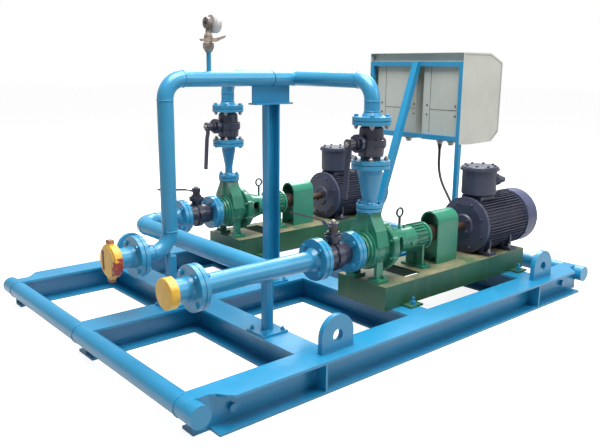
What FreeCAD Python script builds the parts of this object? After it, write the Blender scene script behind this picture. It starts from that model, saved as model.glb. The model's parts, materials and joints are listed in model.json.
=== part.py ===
import FreeCAD, Part
import math
import os

import Sketcher
from FreeCAD import Placement, Rotation, Vector

# Twin centrifugal pump skid: floor at z 0, +X along the long beams, origin at the middle of the skid
doc = FreeCAD.newDocument("PumpSkid")
sheet = doc.addObject("Spreadsheet::Sheet", "Sizes")

# Driving dimensions in millimetres
SIZES = {
    "skid_length": 2670,
    "beam_spacing": 900,
    "beam_height": 140,
    "beam_width": 140,
    "web_thickness": 8,
    "flange_thickness": 12,
    "flange_setback": 70,
    "trim_length": 145,
    "tube_radius": 44.5,
    "tube_stub": 58,
    "plug_radius": 16,
    "plug_setback": 165,
    "cross_one": -735,
    "cross_two": -31,
    "cross_three": 898,
    "lug_width": 178,
    "lug_thickness": 25,
    "lug_rise": 66,
    "lug_hole": 27,
    "lug_left": -640,
    "lug_right": 937,
    "stiffener_thickness": 10,
    "stiffener_offset": 118,
    "plate_thickness": 10,
    "axis_height": 418,
    "near_line": -562,
    "far_line": 618,
    "suction_pipe": 44.5,
    "suction_flange": 97.5,
    "suction_flange_thickness": 20,
    "suction_bend": 114,
    "delivery_pipe": 38,
    "delivery_flange": 92.5,
    "delivery_flange_thickness": 18,
    "delivery_bend": 95,
    "gasket_thickness": 3,
    "gasket_inset": 7,
    "hose_pipe": 50,
    "hose_bore": 38,
    "suction_hose_length": 105,
    "delivery_hose_length": 118,
    "suction_end": -1104,
    "riser_end": -1060,
    "riser_line": -884,
    "header_drop": 89,
    "suction_cap_radius": 59,
    "suction_cap_reach": 66,
    "delivery_cap_radius": 78,
    "delivery_cap_reach": 98,
    "cap_lug": 22,
    "cap_groove": 10,
    "cap_length": 36,
    "cap_wall": 8,
    "cap_clearance": 0.3,
    "prop_radius": 27,
    "tee_plate": 130,
    "foot_plate": 120,
    "post_line": -269,
    "post_width": 80,
    "post_depth": 46,
    "post_wall": 8,
    "saddle_length": 240,
    "saddle_height": 92,
    "suction_valve_length": 210,
    "delivery_valve_length": 202,
    "reducer_length": 207,
    "reducer_hub": 10,
    "near_reducer_neck": 36,
    "near_reducer_mouth": 59,
    "far_reducer_neck": 23,
    "far_reducer_mouth": 40,
    "valve_body": 66,
    "bonnet_radius": 30,
    "bonnet_collar": 43,
    "collar_thickness": 16,
    "bonnet_height": 116,
    "stem_radius": 9,
    "stem_height": 157,
    "hub_radius": 25,
    "hub_height": 20,
    "running_clearance": 0.05,
    "lever_width": 28,
    "lever_thickness": 9,
    "lever_reach": 250,
    "lever_knee": 38,
    "lever_bend": 30,
    "lever_steep": 92,
    "lever_flat": 30,
    "lever_hang": 20,
    "pump_face": -237,
    "pump_throat": 128,
    "pump_rise": 200,
    "pump_flange": 62,
    "pump_flange_thickness": 16,
    "volute_radius": 102,
    "volute_growth": 8,
    "volute_depth": 84,
    "volute_round": 30,
    "nozzle_radius": 38,
    "casing_depth": 215,
    "cover_radius": 124,
    "cover_boss": 14,
    "neck_foot": 104,
    "neck_depth": 76,
    "bearing_radius": 64,
    "bearing_length": 328,
    "housing_fin": 9,
    "eye_rise": 82,
    "eye_radius": 22,
    "pump_shaft": 19,
    "coupling_start": 336,
    "coupling_length": 180,
    "coupling_radius": 46,
    "hub_length": 42,
    "spacer_radius": 34,
    "motor_shaft": 21,
    "shaft_height": 160,
    "base_start": -150,
    "base_length": 1188,
    "base_width": 324,
    "base_wall": 8,
    "foot_length": 90,
    "foot_reach": 58,
    "guard_start": 360,
    "guard_length": 170,
    "guard_half_width": 61,
    "guard_arch": 58,
    "guard_rim": 8,
    "guard_wall": 3,
    "motor_start": 668,
    "motor_radius": 158,
    "shield_thickness": 24,
    "frame_length": 378,
    "fin_height": 16,
    "fin_thickness": 4,
    "cowl_length": 117,
    "cowl_wall": 3,
    "fan_radius": 126,
    "box_line": 786,
    "box_radius": 98,
    "box_height": 168,
    "gland_radius": 15,
    "gland_length": 40,
    "gauge_line": -643,
    "gauge_height": 256,
    "gauge_radius": 46,
    "gauge_offset": 14,
    "gauge_boss": 26,
    "gauge_depth": 34,
    "gauge_pipe": 11,
    "cock_height": 178,
    "panel_width": 800,
    "panel_height": 1320,
    "panel_sill": 797,
    "panel_bar": 30,
    "hood_height": 1380,
    "hood_depth": 432,
    "hood_wall": 3,
    "cabinet_depth": 200,
    "cabinet_gap": 63,
    "door_thickness": 22,
    "door_gap": 2,
    "hinge_pin": 4,
    "hinge_barrel": 8,
    "hinge_length": 40,
    "hinge_play": 0.5,
    "stay_line": 371,
    "stay_width": 48,
    "cable_radius": 9,
}

FIN_COUNT = 28
FAN_BLADES = 7
GRILLE_SLOTS = 12
COVER_BOSSES = 8
HOUSING_FINS = 22
SUCTION_CAP_LUGS = 6
DELIVERY_CAP_LUGS = 2
TONGUE_ANGLE = 190
# Corners of the cable, as shares of the way from the motor gland to the cabinet gland on each axis
CABLE_ROUTE = (
    (0.153, 0, 0), (0.286, 0.049, -0.243), (0.323, 0.156, -0.557),
    (0.323, 0.269, -1.209), (0.355, 0.384, -1.904), (0.435, 0.499, -2.400),
    (0.556, 0.592, -2.643), (0.694, 0.666, -2.504), (0.810, 0.784, -1.991),
    (0.915, 0.922, -1.252), (0.988, 0.994, -0.470),
)
X_AXIS, Y_AXIS, Z_AXIS = Vector(1, 0, 0), Vector(0, 1, 0), Vector(0, 0, 1)


class Size(float):
    """A length that remembers the sheet formula it comes from."""

    def __new__(cls, number, text):
        made = float.__new__(cls, number)
        made.text = text
        return made

    def __add__(self, other):
        return Size(float(self) + float(other), "(%s + %s)" % (self.text, formula(other)))

    def __sub__(self, other):
        return Size(float(self) - float(other), "(%s - %s)" % (self.text, formula(other)))

    def __rsub__(self, other):
        return Size(float(other) - float(self), "(%s - %s)" % (formula(other), self.text))

    def __mul__(self, other):
        return Size(float(self) * float(other), "(%s * %s)" % (self.text, formula(other)))

    def __truediv__(self, other):
        return Size(float(self) / float(other), "(%s / %s)" % (self.text, formula(other)))

    def __neg__(self):
        return Size(-float(self), "(0 - %s)" % self.text)

    __radd__ = __add__
    __rmul__ = __mul__


def formula(value):
    """The sheet formula of a size, or a plain number as text."""
    return value.text if isinstance(value, Size) else "(%r)" % float(value)


class Sheet:
    """Every driving dimension, read by its name."""


S = Sheet()
for row, (name, number) in enumerate(SIZES.items(), 1):
    sheet.set("A%d" % row, name)
    sheet.set("B%d" % row, str(number))
    sheet.setAlias("B%d" % row, name)
    setattr(S, name, Size(number, "Sizes.%s" % name))
doc.recompute()

nodes = []


# Small helpers

def bind(item, path, value):
    """Ties one property of an object to the sheet."""
    if isinstance(value, Size):
        item.setExpression(path, value.text)


def turn(along):
    """The rotation that takes an object's own Z axis to X, Y or Z, or their negatives."""
    return {
        "x": Rotation(Y_AXIS, 90),
        "-x": Rotation(Y_AXIS, -90),
        "y": Rotation(X_AXIS, -90),
        "-y": Rotation(X_AXIS, 90),
        "z": Rotation(),
        "-z": Rotation(X_AXIS, 180),
    }[along]


def put(item, place, rotation=None):
    """Places an object and ties its place to the sheet."""
    item.Placement = Placement(Vector(*[float(value) for value in place]), rotation or Rotation())
    for axis, value in zip("xyz", place):
        bind(item, "Placement.Base.%s" % axis, value)
    return item


def primitive(kind, sizes, place, rotation=None):
    """A Part primitive with its sizes and place tied to the sheet."""
    item = doc.addObject("Part::%s" % kind, kind)
    for path, value in sizes.items():
        setattr(item, path, float(value))
        bind(item, path, value)
    return put(item, place, rotation)


def box(lengths, place):
    return primitive("Box", dict(zip(("Length", "Width", "Height"), lengths)), place)


def block(x_range, y_range, z_range):
    """A box between two bounds on each axis."""
    lengths = [high - low for low, high in (x_range, y_range, z_range)]
    return box(lengths, (x_range[0], y_range[0], z_range[0]))


def rod(radius, length, place, along="z"):
    return primitive("Cylinder", {"Radius": radius, "Height": length}, place, turn(along))


def cone(start, end, length, place, along="z"):
    return primitive("Cone", {"Radius1": start, "Radius2": end, "Height": length}, place, turn(along))


def elbow(bend, radius, corner, back, ahead):
    """A quarter bend round the corner where two pipe centre lines meet."""
    centre = [c + bend * (b + a) for c, b, a in zip(corner, back, ahead)]
    x_dir = -Vector(*ahead)
    y_dir = -Vector(*back)
    rotation = Rotation(x_dir, y_dir, x_dir.cross(y_dir), "XYZ")
    item = primitive("Torus", {"Radius1": bend, "Radius2": radius}, centre, rotation)
    item.Angle3 = 90
    return item


def fuse(parts, label=None):
    item = doc.addObject("Part::MultiFuse", label or "Fuse")
    item.Shapes = parts
    return item


def cut(base, tool):
    item = doc.addObject("Part::Cut", "Cut")
    item.Base = base
    item.Tool = tool
    return item


def node(label, item):
    """Makes an object one of the model's named sub-parts."""
    item.Label = label
    nodes.append(item)
    return item


def plane_of(body, role):
    return next(plane for plane in body.Origin.OriginFeatures if plane.Role == role)


def sketch_on(body, role, offset=None):
    sketch = body.newObject("Sketcher::SketchObject", "Sketch")
    sketch.AttachmentSupport = [(plane_of(body, role), "")]
    sketch.MapMode = "FlatFace"
    if offset is not None:
        sketch.AttachmentOffset = offset
    return sketch


def hold(sketch, line, end, point):
    """Holds one end of a line at a place that follows the sheet."""
    for kind, axis, value in (("DistanceX", -2, point[0]), ("DistanceY", -1, point[1])):
        if float(value) == 0:
            sketch.addConstraint(Sketcher.Constraint("PointOnObject", line, end, axis))
            continue
        index = sketch.addConstraint(Sketcher.Constraint(kind, -1, 1, line, end, float(value)))
        bind(sketch, "Constraints[%d]" % index, value)


def outline(sketch, points):
    """Draws a closed outline of straight lines."""
    spots = [Vector(float(x), float(y), 0) for x, y in points]
    count = len(spots)
    first = sketch.GeometryCount
    for index in range(count):
        sketch.addGeometry(Part.LineSegment(spots[index], spots[(index + 1) % count]))
    for index in range(count):
        following = first + (index + 1) % count
        sketch.addConstraint(Sketcher.Constraint("Coincident", first + index, 2, following, 1))
        hold(sketch, first + index, 1, points[index])


def pad(body, sketch, length, middle=False):
    feature = body.newObject("PartDesign::Pad", "Pad")
    feature.Profile = sketch
    feature.Length = float(length)
    feature.Midplane = middle
    bind(feature, "Length", length)
    return feature


def extruded(points, length, place, role="XY_Plane", middle=False):
    """A body with a straight-sided outline pushed out to a length."""
    body = doc.addObject("PartDesign::Body", "Body")
    sketch = sketch_on(body, role)
    outline(sketch, points)
    pad(body, sketch, length, middle)
    return put(body, place)


def turned(points, place, along="z"):
    """A body turned about its own Z axis from a profile of (radius, height) points."""
    body = doc.addObject("PartDesign::Body", "Body")
    sketch = sketch_on(body, "XZ_Plane")
    outline(sketch, points)
    feature = body.newObject("PartDesign::Revolution", "Revolution")
    feature.Profile = sketch
    feature.ReferenceAxis = (sketch, ["V_Axis"])
    feature.Angle = 360
    return put(body, place, turn(along))


def repeated(body, feature, count):
    """Repeats a feature evenly round the body's own Z axis."""
    pattern = body.newObject("PartDesign::PolarPattern", "Pattern")
    pattern.Originals = [feature]
    pattern.Axis = (plane_of(body, "Z_Axis"), [""])
    pattern.Angle = 360
    pattern.Occurrences = count
    body.Tip = pattern
    return pattern


def fan_of(body, points, depth, count, role="XY_Plane"):
    """Pads an outline and repeats it round the body's own Z axis."""
    sketch = sketch_on(body, role)
    outline(sketch, points)
    feature = pad(body, sketch, depth, role != "XY_Plane")
    return repeated(body, feature, count)


half_length = S.skid_length / 2
beam_top = S.beam_height
half_width = S.beam_width / 2
half_web = S.web_thickness / 2
tube_height = beam_top - S.tube_radius
lines = {"near": S.near_line, "far": S.far_line}


# Skid frame

def beam_profile():
    """The outline of an H section: width across, height up."""
    lip = S.flange_thickness
    right = [
        (half_width, 0 * lip),
        (half_width, lip),
        (half_web, lip),
        (half_web, beam_top - lip),
        (half_width, beam_top - lip),
        (half_width, beam_top),
    ]
    left = [(-across, up) for across, up in reversed(right)]
    return right + left


def end_tube(side, radius):
    """The round tube across one end of the skid, or a cutter of its size."""
    reach = S.beam_spacing + S.tube_stub
    return rod(radius, reach * 2, (half_length * side, -reach, tube_height), "y")


def flange_trims(row):
    """What is cut from the outer half of a side beam's flanges near each end tube."""
    outer = half_width + 5
    tools = []
    for side in (-1, 1):
        start = (half_length - S.trim_length) * side
        end = (half_length - S.flange_setback) * side
        past = (half_length + 5) * side
        points = [
            (start, outer * row),
            (start + (end - start) * 0.35, (half_web + 46) * row),
            (start + (end - start) * 0.7, (half_web + 12) * row),
            (end, half_web * row),
            (past, half_web * row),
            (past, outer * row),
        ]
        top = (0, S.beam_spacing * row, beam_top - S.flange_thickness)
        tools.append(extruded(points, S.flange_thickness + 1, top))
        spans = [sorted((end, past)), sorted((half_web * row, outer * row))]
        lower = [bound + S.beam_spacing * row for bound in spans[1]]
        tools.append(block(spans[0], lower, (-1, S.flange_thickness)))
    return tools


def long_beams():
    """Three H beams between the end tubes, with stiffeners and web plugs on the outer two."""
    beams = []
    for row in (-1, 0, 1):
        body = doc.addObject("PartDesign::Body", "Body")
        outline(sketch_on(body, "YZ_Plane"), beam_profile())
        pad(body, body.Group[0], S.skid_length, True)
        put(body, (0, S.beam_spacing * row, 0))
        tools = [end_tube(side, S.tube_radius) for side in (-1, 1)]
        if row:
            tools += flange_trims(row)
        shape = cut(body, fuse(tools))
        extras = []
        for lug in (S.lug_left, S.lug_right) if row else ():
            start = lug - S.stiffener_offset
            depth = half_width - half_web
            low = S.beam_spacing * row + (half_web if row > 0 else -half_width)
            lengths = (S.stiffener_thickness, depth, beam_top - S.flange_thickness * 2)
            extras.append(box(lengths, (start, low, S.flange_thickness)))
        for side in (-1, 1) if row else ():
            place = ((half_length - S.plug_setback) * side, (S.beam_spacing + half_web) * row, 62)
            extras.append(rod(S.plug_radius, 16, place, "y" if row > 0 else "-y"))
        beams.append(fuse([shape] + extras) if extras else shape)
    node("long_beams", fuse(beams))


def cross_beams():
    """Six short H beams that cross the two bays, coped to the long beams' webs."""
    beams = []
    inner = half_width
    clear = S.beam_spacing - S.beam_width
    for line in (S.cross_one, S.cross_two, S.cross_three):
        for start in (-S.beam_spacing, 0 * S.beam_spacing):
            body = doc.addObject("PartDesign::Body", "Body")
            outline(sketch_on(body, "XZ_Plane"), beam_profile())
            pad(body, body.Group[0], clear)
            put(body, (line, start + inner + clear, 0))
            rise = beam_top - S.flange_thickness * 2
            reach = S.beam_spacing - S.web_thickness
            place = (line - half_web, start + half_web, S.flange_thickness)
            beams.append(fuse([body, box((S.web_thickness, reach, rise), place)]))
    node("cross_beams", fuse(beams))


def end_tubes():
    node("end_tubes", fuse([end_tube(side, S.tube_radius) for side in (-1, 1)]))


def lifting_lugs():
    """Four round-topped plates on the outer beams, each with a shackle hole."""
    lugs = []
    for row in (-1, 1):
        for line in (S.lug_left, S.lug_right):
            back = S.beam_spacing * row - S.lug_thickness / 2
            low = (line - S.lug_width / 2, back, beam_top)
            centre = (line, back, beam_top + S.lug_rise)
            plate = box((S.lug_width, S.lug_thickness, S.lug_rise), low)
            crown = rod(S.lug_width / 2, S.lug_thickness, centre, "y")
            below = block((line - S.lug_width, line + S.lug_width), (back - 1, back + S.lug_thickness + 1),
                          (beam_top - S.lug_width, beam_top))
            hole = rod(S.lug_hole, S.lug_thickness, centre, "y")
            lugs.append(cut(fuse([plate, crown]), fuse([hole, below])))
    node("lifting_lugs", fuse(lugs))


# Pipework

suction_valve_left = S.pump_face - S.gasket_thickness - S.suction_valve_length
suction_pipe_end = suction_valve_left - S.gasket_thickness
header_line = S.pump_face + S.pump_throat
discharge_face = S.axis_height + S.pump_rise
reducer_top = discharge_face + S.gasket_thickness + S.reducer_length
valve_low = reducer_top + S.gasket_thickness
valve_high = valve_low + S.delivery_valve_length
drop_end = valve_high + S.gasket_thickness
header_height = drop_end + S.header_drop + S.delivery_bend
hose_ends = (
    (S.suction_end, S.near_line, S.suction_hose_length),
    (S.riser_end, 0, S.delivery_hose_length),
)


def suction_manifold():
    """Near suction pipe with a tee, the cross pipe and the far branch."""
    height = S.axis_height
    flange = S.suction_flange_thickness
    start = (S.suction_end, S.near_line, height)
    cross_run = S.far_line - S.near_line - S.suction_bend
    parts = [
        rod(S.suction_pipe, suction_pipe_end - S.suction_end, start, "x"),
        rod(S.suction_flange, flange, start, "x"),
        rod(S.suction_pipe, cross_run, (S.cross_one, S.near_line, height), "y"),
        elbow(S.suction_bend, S.suction_pipe, (S.cross_one, S.far_line, height), (0, -1, 0), (1, 0, 0)),
    ]
    bend_end = S.cross_one + S.suction_bend
    parts.append(rod(S.suction_pipe, suction_pipe_end - bend_end, (bend_end, S.far_line, height), "x"))
    for line in lines.values():
        parts.append(rod(S.suction_flange, flange, (suction_pipe_end - flange, line, height), "x"))
        hub = (suction_pipe_end - flange - 24, line, height)
        parts.append(cone(S.suction_pipe, S.suction_pipe + 13, 24, hub, "x"))
    hub = (S.suction_end + flange, S.near_line, height)
    parts.append(cone(S.suction_pipe + 13, S.suction_pipe, 24, hub, "x"))
    node("suction_manifold", fuse(parts))


def discharge_riser():
    """Delivery hose flange, lower bend, riser, upper bend and the link to the header."""
    bend = S.delivery_bend
    pipe = S.delivery_pipe
    low = (S.riser_line, 0 * bend, S.axis_height)
    high = (S.riser_line, 0 * bend, header_height)
    start = (S.riser_end, 0, S.axis_height)
    parts = [
        rod(S.suction_flange, S.suction_flange_thickness, start, "x"),
        rod(pipe, S.riser_line - bend - S.riser_end, start, "x"),
        cone(pipe + 14, pipe, 24, (S.riser_end + S.suction_flange_thickness, 0, S.axis_height), "x"),
        elbow(bend, pipe, low, (-1, 0, 0), (0, 0, 1)),
        rod(pipe, header_height - S.axis_height - bend * 2, (S.riser_line, 0, S.axis_height + bend)),
        elbow(bend, pipe, high, (0, 0, -1), (1, 0, 0)),
        rod(pipe, header_line - S.riser_line - bend, (S.riser_line + bend, 0, header_height), "x"),
    ]
    header = rod(pipe, 4 * pipe, (header_line, -2 * pipe, header_height), "y")
    node("discharge_riser", cut(fuse(parts), header))


def discharge_header():
    """The pipe across both pumps, turned down at each end to a flange."""
    bend = S.delivery_bend
    pipe = S.delivery_pipe
    flange = S.delivery_flange_thickness
    run = S.far_line - S.near_line - bend * 2
    parts = [rod(pipe, run, (header_line, S.near_line + bend, header_height), "y")]
    for line, inward in ((S.near_line, 1), (S.far_line, -1)):
        parts.append(elbow(bend, pipe, (header_line, line, header_height), (0, inward, 0), (0, 0, -1)))
        parts.append(rod(pipe, S.header_drop, (header_line, line, drop_end)))
        parts.append(rod(S.delivery_flange, flange, (header_line, line, drop_end), "z"))
        parts.append(cone(pipe + 12, pipe, 22, (header_line, line, drop_end + flange)))
    node("discharge_header", fuse(parts))


def hose_adapters():
    """The two hose ends: an open pipe mouth on a flange."""
    flange = S.suction_flange_thickness
    adapters = []
    for end, line, length in hose_ends:
        face = end - S.gasket_thickness
        place = (face - flange, line, S.axis_height)
        body = fuse([
            rod(S.suction_flange, flange, place, "x"),
            cone(S.hose_pipe + 6, S.hose_pipe, 14, place, "-x"),
            rod(S.hose_pipe, length, place, "-x"),
        ])
        mouth = (face - flange - length, line, S.axis_height)
        adapters.append(cut(body, rod(S.hose_bore, length, mouth, "x")))
    node("hose_adapters", fuse(adapters))


def cap(label, radius, reach, lugs, end, line, length):
    """A lugged blanking cap over a hose end."""
    mouth = end - S.gasket_thickness - S.suction_flange_thickness - length
    inner = S.hose_pipe + S.cap_clearance
    depth = S.cap_length - S.cap_wall
    bevel = S.cap_wall / 2
    body = doc.addObject("PartDesign::Body", "Body")
    sketch = sketch_on(body, "XZ_Plane")
    outline(sketch, [
        (0, -S.cap_wall), (radius - S.cap_wall, -S.cap_wall), (radius, 0), (radius, depth - bevel),
        (radius - bevel, depth), (inner, depth), (inner, 0), (0, 0),
    ])
    feature = body.newObject("PartDesign::Revolution", "Revolution")
    feature.Profile = sketch
    feature.ReferenceAxis = (sketch, ["V_Axis"])
    feature.Angle = 360
    root = radius - S.cap_wall
    tip = S.cap_lug * 0.75
    fan_of(body, [(root, S.cap_lug), (root, -S.cap_lug), (reach, -tip), (reach, tip)], depth - bevel, lugs)
    put(body, (mouth, line, S.axis_height), turn("x"))
    groove = S.cap_groove
    tall = radius * 0.5
    slot = block((mouth - S.cap_wall - 1, mouth - S.cap_wall / 2), (line + groove * 3, line + groove * 4),
                 (S.axis_height - tall, S.axis_height + tall))
    node(label, cut(body, slot) if lugs == DELIVERY_CAP_LUGS else body)


def reducers():
    """The two cones between the pumps' small flanges and the valves."""
    low = discharge_face + S.gasket_thickness
    flange = S.delivery_flange_thickness
    height = reducer_top - low
    foot = S.pump_flange_thickness
    hub = S.reducer_hub
    shapes = {
        "near": (S.near_reducer_neck, foot + hub * 2, S.near_reducer_mouth),
        "far": (S.far_reducer_neck, foot + hub * 5, S.far_reducer_mouth),
    }
    for name, (neck, neck_end, mouth) in shapes.items():
        node(name + "_reducer", turned([
            (0, 0), (S.pump_flange, 0), (S.pump_flange, foot), (neck + hub * 0.6, foot), (neck, foot + hub),
            (neck, neck_end), (mouth, height - flange - hub * 3), (mouth, height - flange - hub),
            (mouth + hub * 0.6, height - flange), (S.delivery_flange, height - flange),
            (S.delivery_flange, height), (0, height),
        ], (header_line, lines[name], low)))


def flange_gaskets():
    """A thin dark ring in each flange joint."""
    big = S.suction_flange - S.gasket_inset
    medium = S.delivery_flange - S.gasket_inset
    small = S.pump_flange - S.gasket_inset
    rings = []
    for end, line, _ in hose_ends:
        rings.append(rod(big, S.gasket_thickness, (end - S.gasket_thickness, line, S.axis_height), "x"))
    for line in lines.values():
        for place in (suction_pipe_end, S.pump_face - S.gasket_thickness):
            rings.append(rod(big, S.gasket_thickness, (place, line, S.axis_height), "x"))
        for place, radius in ((discharge_face, small), (reducer_top, medium), (valve_high, medium)):
            rings.append(rod(radius, S.gasket_thickness, (header_line, line, place)))
    node("flange_gaskets", fuse(rings))


# Ball valves with lever handles

def ball_valve(label, length, flange, place, along, lift, rise):
    """A two-piece valve body whose stem stands out toward lift, with a lever that slopes by rise."""
    radius, thickness = flange
    middle = length / 2
    body = turned([
        (0, 0), (radius, 0), (radius, thickness), (48, thickness), (48, thickness + 12),
        (S.valve_body - 6, thickness + 20), (S.valve_body - 2, middle - 16), (S.valve_body + 6, middle - 16),
        (S.valve_body + 6, middle + 14), (S.valve_body - 6, middle + 18), (56, length - thickness - 14),
        (48, length - thickness - 8), (48, length - thickness), (radius, length - thickness),
        (radius, length), (0, length),
    ], place, along)
    axis = {"x": (1, 0, 0), "z": (0, 0, 1)}[along]
    out = {"z": (0, 0, 1), "-x": (-1, 0, 0)}[lift]
    centre = [c + middle * a for c, a in zip(place, axis)]
    bonnet = rod(S.bonnet_radius, S.bonnet_height, centre, lift)
    collar_place = [c + (S.bonnet_height - S.collar_thickness * 2) * o for c, o in zip(centre, out)]
    collar = rod(S.bonnet_collar, S.collar_thickness, collar_place, lift)
    seat = S.bonnet_height - 24
    bore_place = [c + seat * o for c, o in zip(centre, out)]
    bore = rod(S.stem_radius + S.running_clearance, 30, bore_place, lift)
    node(label + "_body", cut(fuse([body, bonnet, collar]), bore))

    stem = rod(S.stem_radius, S.stem_height - seat, bore_place, lift)
    skirt = S.bonnet_height + S.cap_clearance
    hub_base = [c + (S.stem_height - S.hub_height) * o for c, o in zip(centre, out)]
    washer_place = [c + skirt * o for c, o in zip(centre, out)]
    washer = rod(S.bonnet_radius - 8, S.stem_height - S.hub_height - skirt, washer_place, lift)
    node(label + "_stem", fuse([stem, washer]))

    hub_bore = rod(S.stem_radius, S.hub_height, hub_base, lift)
    hub = cut(rod(S.hub_radius, S.hub_height, hub_base, lift), hub_bore)
    thick = S.lever_thickness
    reach = S.lever_reach
    knee = S.lever_knee
    bend = knee + S.lever_bend
    bend_rise = rise * 0.35
    start = S.hub_radius - 4
    arm = doc.addObject("PartDesign::Body", "Body")
    outline(sketch_on(arm, "XZ_Plane"), [
        (-start, 0), (-knee, 0), (-bend, bend_rise), (-reach, rise),
        (-reach, rise + thick), (-bend - 3, bend_rise + thick), (-knee - 3, thick), (-start, thick),
    ])
    pad(arm, arm.Group[0], S.lever_width, True)
    rotation = Rotation() if lift == "z" else Rotation(Y_AXIS, -90)
    seat_height = S.stem_height - S.hub_height + 4
    put(arm, [c + seat_height * o for c, o in zip(centre, out)], rotation)
    node(label + "_lever", fuse([hub, arm]))


def ball_valves():
    """Two suction valves with levers on top and two delivery valves with levers that hang."""
    suction = (S.suction_flange, S.suction_flange_thickness)
    delivery = (S.delivery_flange, S.delivery_flange_thickness)
    slopes = {"near": S.lever_steep, "far": S.lever_flat}
    for name, line in lines.items():
        ball_valve(name + "_suction_valve", S.suction_valve_length, suction,
                   (suction_valve_left, line, S.axis_height), "x", "z", slopes[name])
        ball_valve(name + "_delivery_valve", S.delivery_valve_length, delivery,
                   (header_line, line, valve_low), "z", "-x", S.lever_hang)


# Supports

def manifold_post():
    """A channel post with a base plate and a saddle under the link pipe."""
    low = beam_top + S.plate_thickness
    saddle_top = header_height
    saddle_low = header_height - S.delivery_pipe - S.saddle_height
    height = saddle_low - low
    wall = S.post_wall
    half = S.post_width / 2
    front = -S.post_depth / 2
    back = S.post_depth / 2
    channel = extruded([
        (-half, front), (-half + wall, front), (-half + wall, back - wall), (half - wall, back - wall),
        (half - wall, front), (half, front), (half, back), (-half, back),
    ], height, (S.post_line, 0, low))
    half_plate = S.foot_plate / 2
    plate = box((S.foot_plate + 20, S.foot_plate, S.plate_thickness),
                (S.post_line - half_plate - 10, -half_plate, beam_top))
    cheek = box((S.saddle_length, wall, saddle_top - saddle_low),
                (S.post_line - S.saddle_length / 2, -wall / 2, saddle_low))
    lid = box((S.saddle_length, S.post_depth + 20, wall),
              (S.post_line - S.saddle_length / 2, -S.post_depth / 2 - 10, saddle_low))
    link = rod(S.delivery_pipe, S.saddle_length + 20,
               (S.post_line - S.saddle_length / 2 - 10, 0, header_height), "x")
    node("manifold_post", fuse([channel, plate, cut(fuse([cheek, lid]), link)]))


def pipe_props():
    """Round props with base plates under the riser bend and the near suction tee."""
    low = beam_top + S.plate_thickness
    height = S.axis_height - low
    tee = rod(S.prop_radius, height, (S.cross_one, S.near_line, low))
    half_tee, half_foot = S.tee_plate / 2, S.foot_plate / 2
    tee_plate = box((S.tee_plate, S.tee_plate, S.plate_thickness),
                    (S.cross_one - half_tee, S.near_line - half_tee, beam_top))
    pipe = rod(S.suction_pipe, S.tee_plate, (S.cross_one - half_tee, S.near_line, S.axis_height), "x")
    cross = rod(S.suction_pipe, S.tee_plate, (S.cross_one, S.near_line, S.axis_height), "y")
    foot = rod(S.prop_radius, height, (S.riser_line, 0, low))
    foot_plate = box((S.foot_plate, S.foot_plate, S.plate_thickness),
                     (S.riser_line - half_foot, -half_foot, beam_top))
    corner = (S.riser_line, 0 * low, S.axis_height)
    bend = elbow(S.delivery_bend, S.delivery_pipe, corner, (-1, 0, 0), (0, 0, 1))
    stub = rod(S.delivery_pipe, S.delivery_pipe, (S.riser_line, 0, S.axis_height + S.delivery_bend))
    above = box((S.foot_plate, S.foot_plate, S.axis_height / 2),
                (S.riser_line - S.prop_radius / 2, -half_foot, S.axis_height - S.prop_radius))
    node("pipe_props", fuse([
        cut(tee, fuse([pipe, cross])), tee_plate, cut(foot, fuse([bend, stub, above])), foot_plate,
    ]))


# Pressure gauge on the link pipe

def gauge():
    """A thin pipe, a cock with a wing handle and a dial gauge that faces along +X."""
    low = header_height
    line = S.gauge_line
    cock = low + S.cock_height
    dial = low + S.gauge_height
    pipe = rod(S.gauge_pipe, S.cock_height - 50, (line, 0, low))
    link = rod(S.delivery_pipe, 100, (line - 50, 0, low), "x")
    body = turned([
        (0, -56), (15, -56), (26, -34), (26, -14), (20, -10), (20, 20), (13, 34), (13, 44), (0, 44),
    ], (line, 0, cock))
    bore = rod(7 + S.running_clearance, 60, (line, -12, cock), "-y")
    node("gauge_pipe", fuse([cut(pipe, link), cut(body, bore)]))

    spindle = rod(7, 34, (line, -12, cock), "-y")
    wing = doc.addObject("PartDesign::Body", "Body")
    outline(sketch_on(wing, "XZ_Plane"), [
        (-72, 2), (-66, -7), (-14, -9), (14, -9), (64, 12), (70, 22), (60, 20), (14, 8), (-14, 8),
    ])
    pad(wing, wing.Group[0], 12)
    put(wing, (line, -S.gauge_boss - 8, cock))
    node("gauge_handle", fuse([spindle, wing]))

    back = line + S.gauge_offset
    case = turned([
        (0, 0), (S.gauge_radius - 9, 0), (S.gauge_radius, 8), (S.gauge_radius, S.gauge_depth),
        (S.gauge_radius - 6, S.gauge_depth), (S.gauge_radius - 6, S.gauge_depth - 8), (0, S.gauge_depth - 8),
    ], (back, 0, dial), "x")
    neck = rod(14, 10, (back + 1, 0, dial), "-x")
    boss_face = back - 8
    boss = rod(S.gauge_boss, 20, (boss_face, 0, dial), "-x")
    hollow = rod(10, 7, (boss_face - 20, 0, dial), "x")
    stem = rod(7, dial - cock - 62, (line - 6, 0, cock + 44))
    node("pressure_gauge", fuse([case, neck, cut(boss, hollow), stem]))

    tip = S.gauge_radius - 14
    hand = extruded([(-3, -12), (3, -12), (1.5, tip), (-1.5, tip)], 2, (0, 0, 0))
    pin = rod(3, 5, (0, 0, -2.7))
    pointer = fuse([hand, pin])
    face = back + S.gauge_depth - 5
    at_zero = Rotation(X_AXIS, 225) * Rotation(Y_AXIS, 90)
    pointer.Placement = Placement(Vector(float(face), 0, float(dial)), at_zero)
    bind(pointer, "Placement.Base.x", face)
    bind(pointer, "Placement.Base.z", dial)
    node("gauge_pointer", pointer)


# Pump sets

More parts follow.
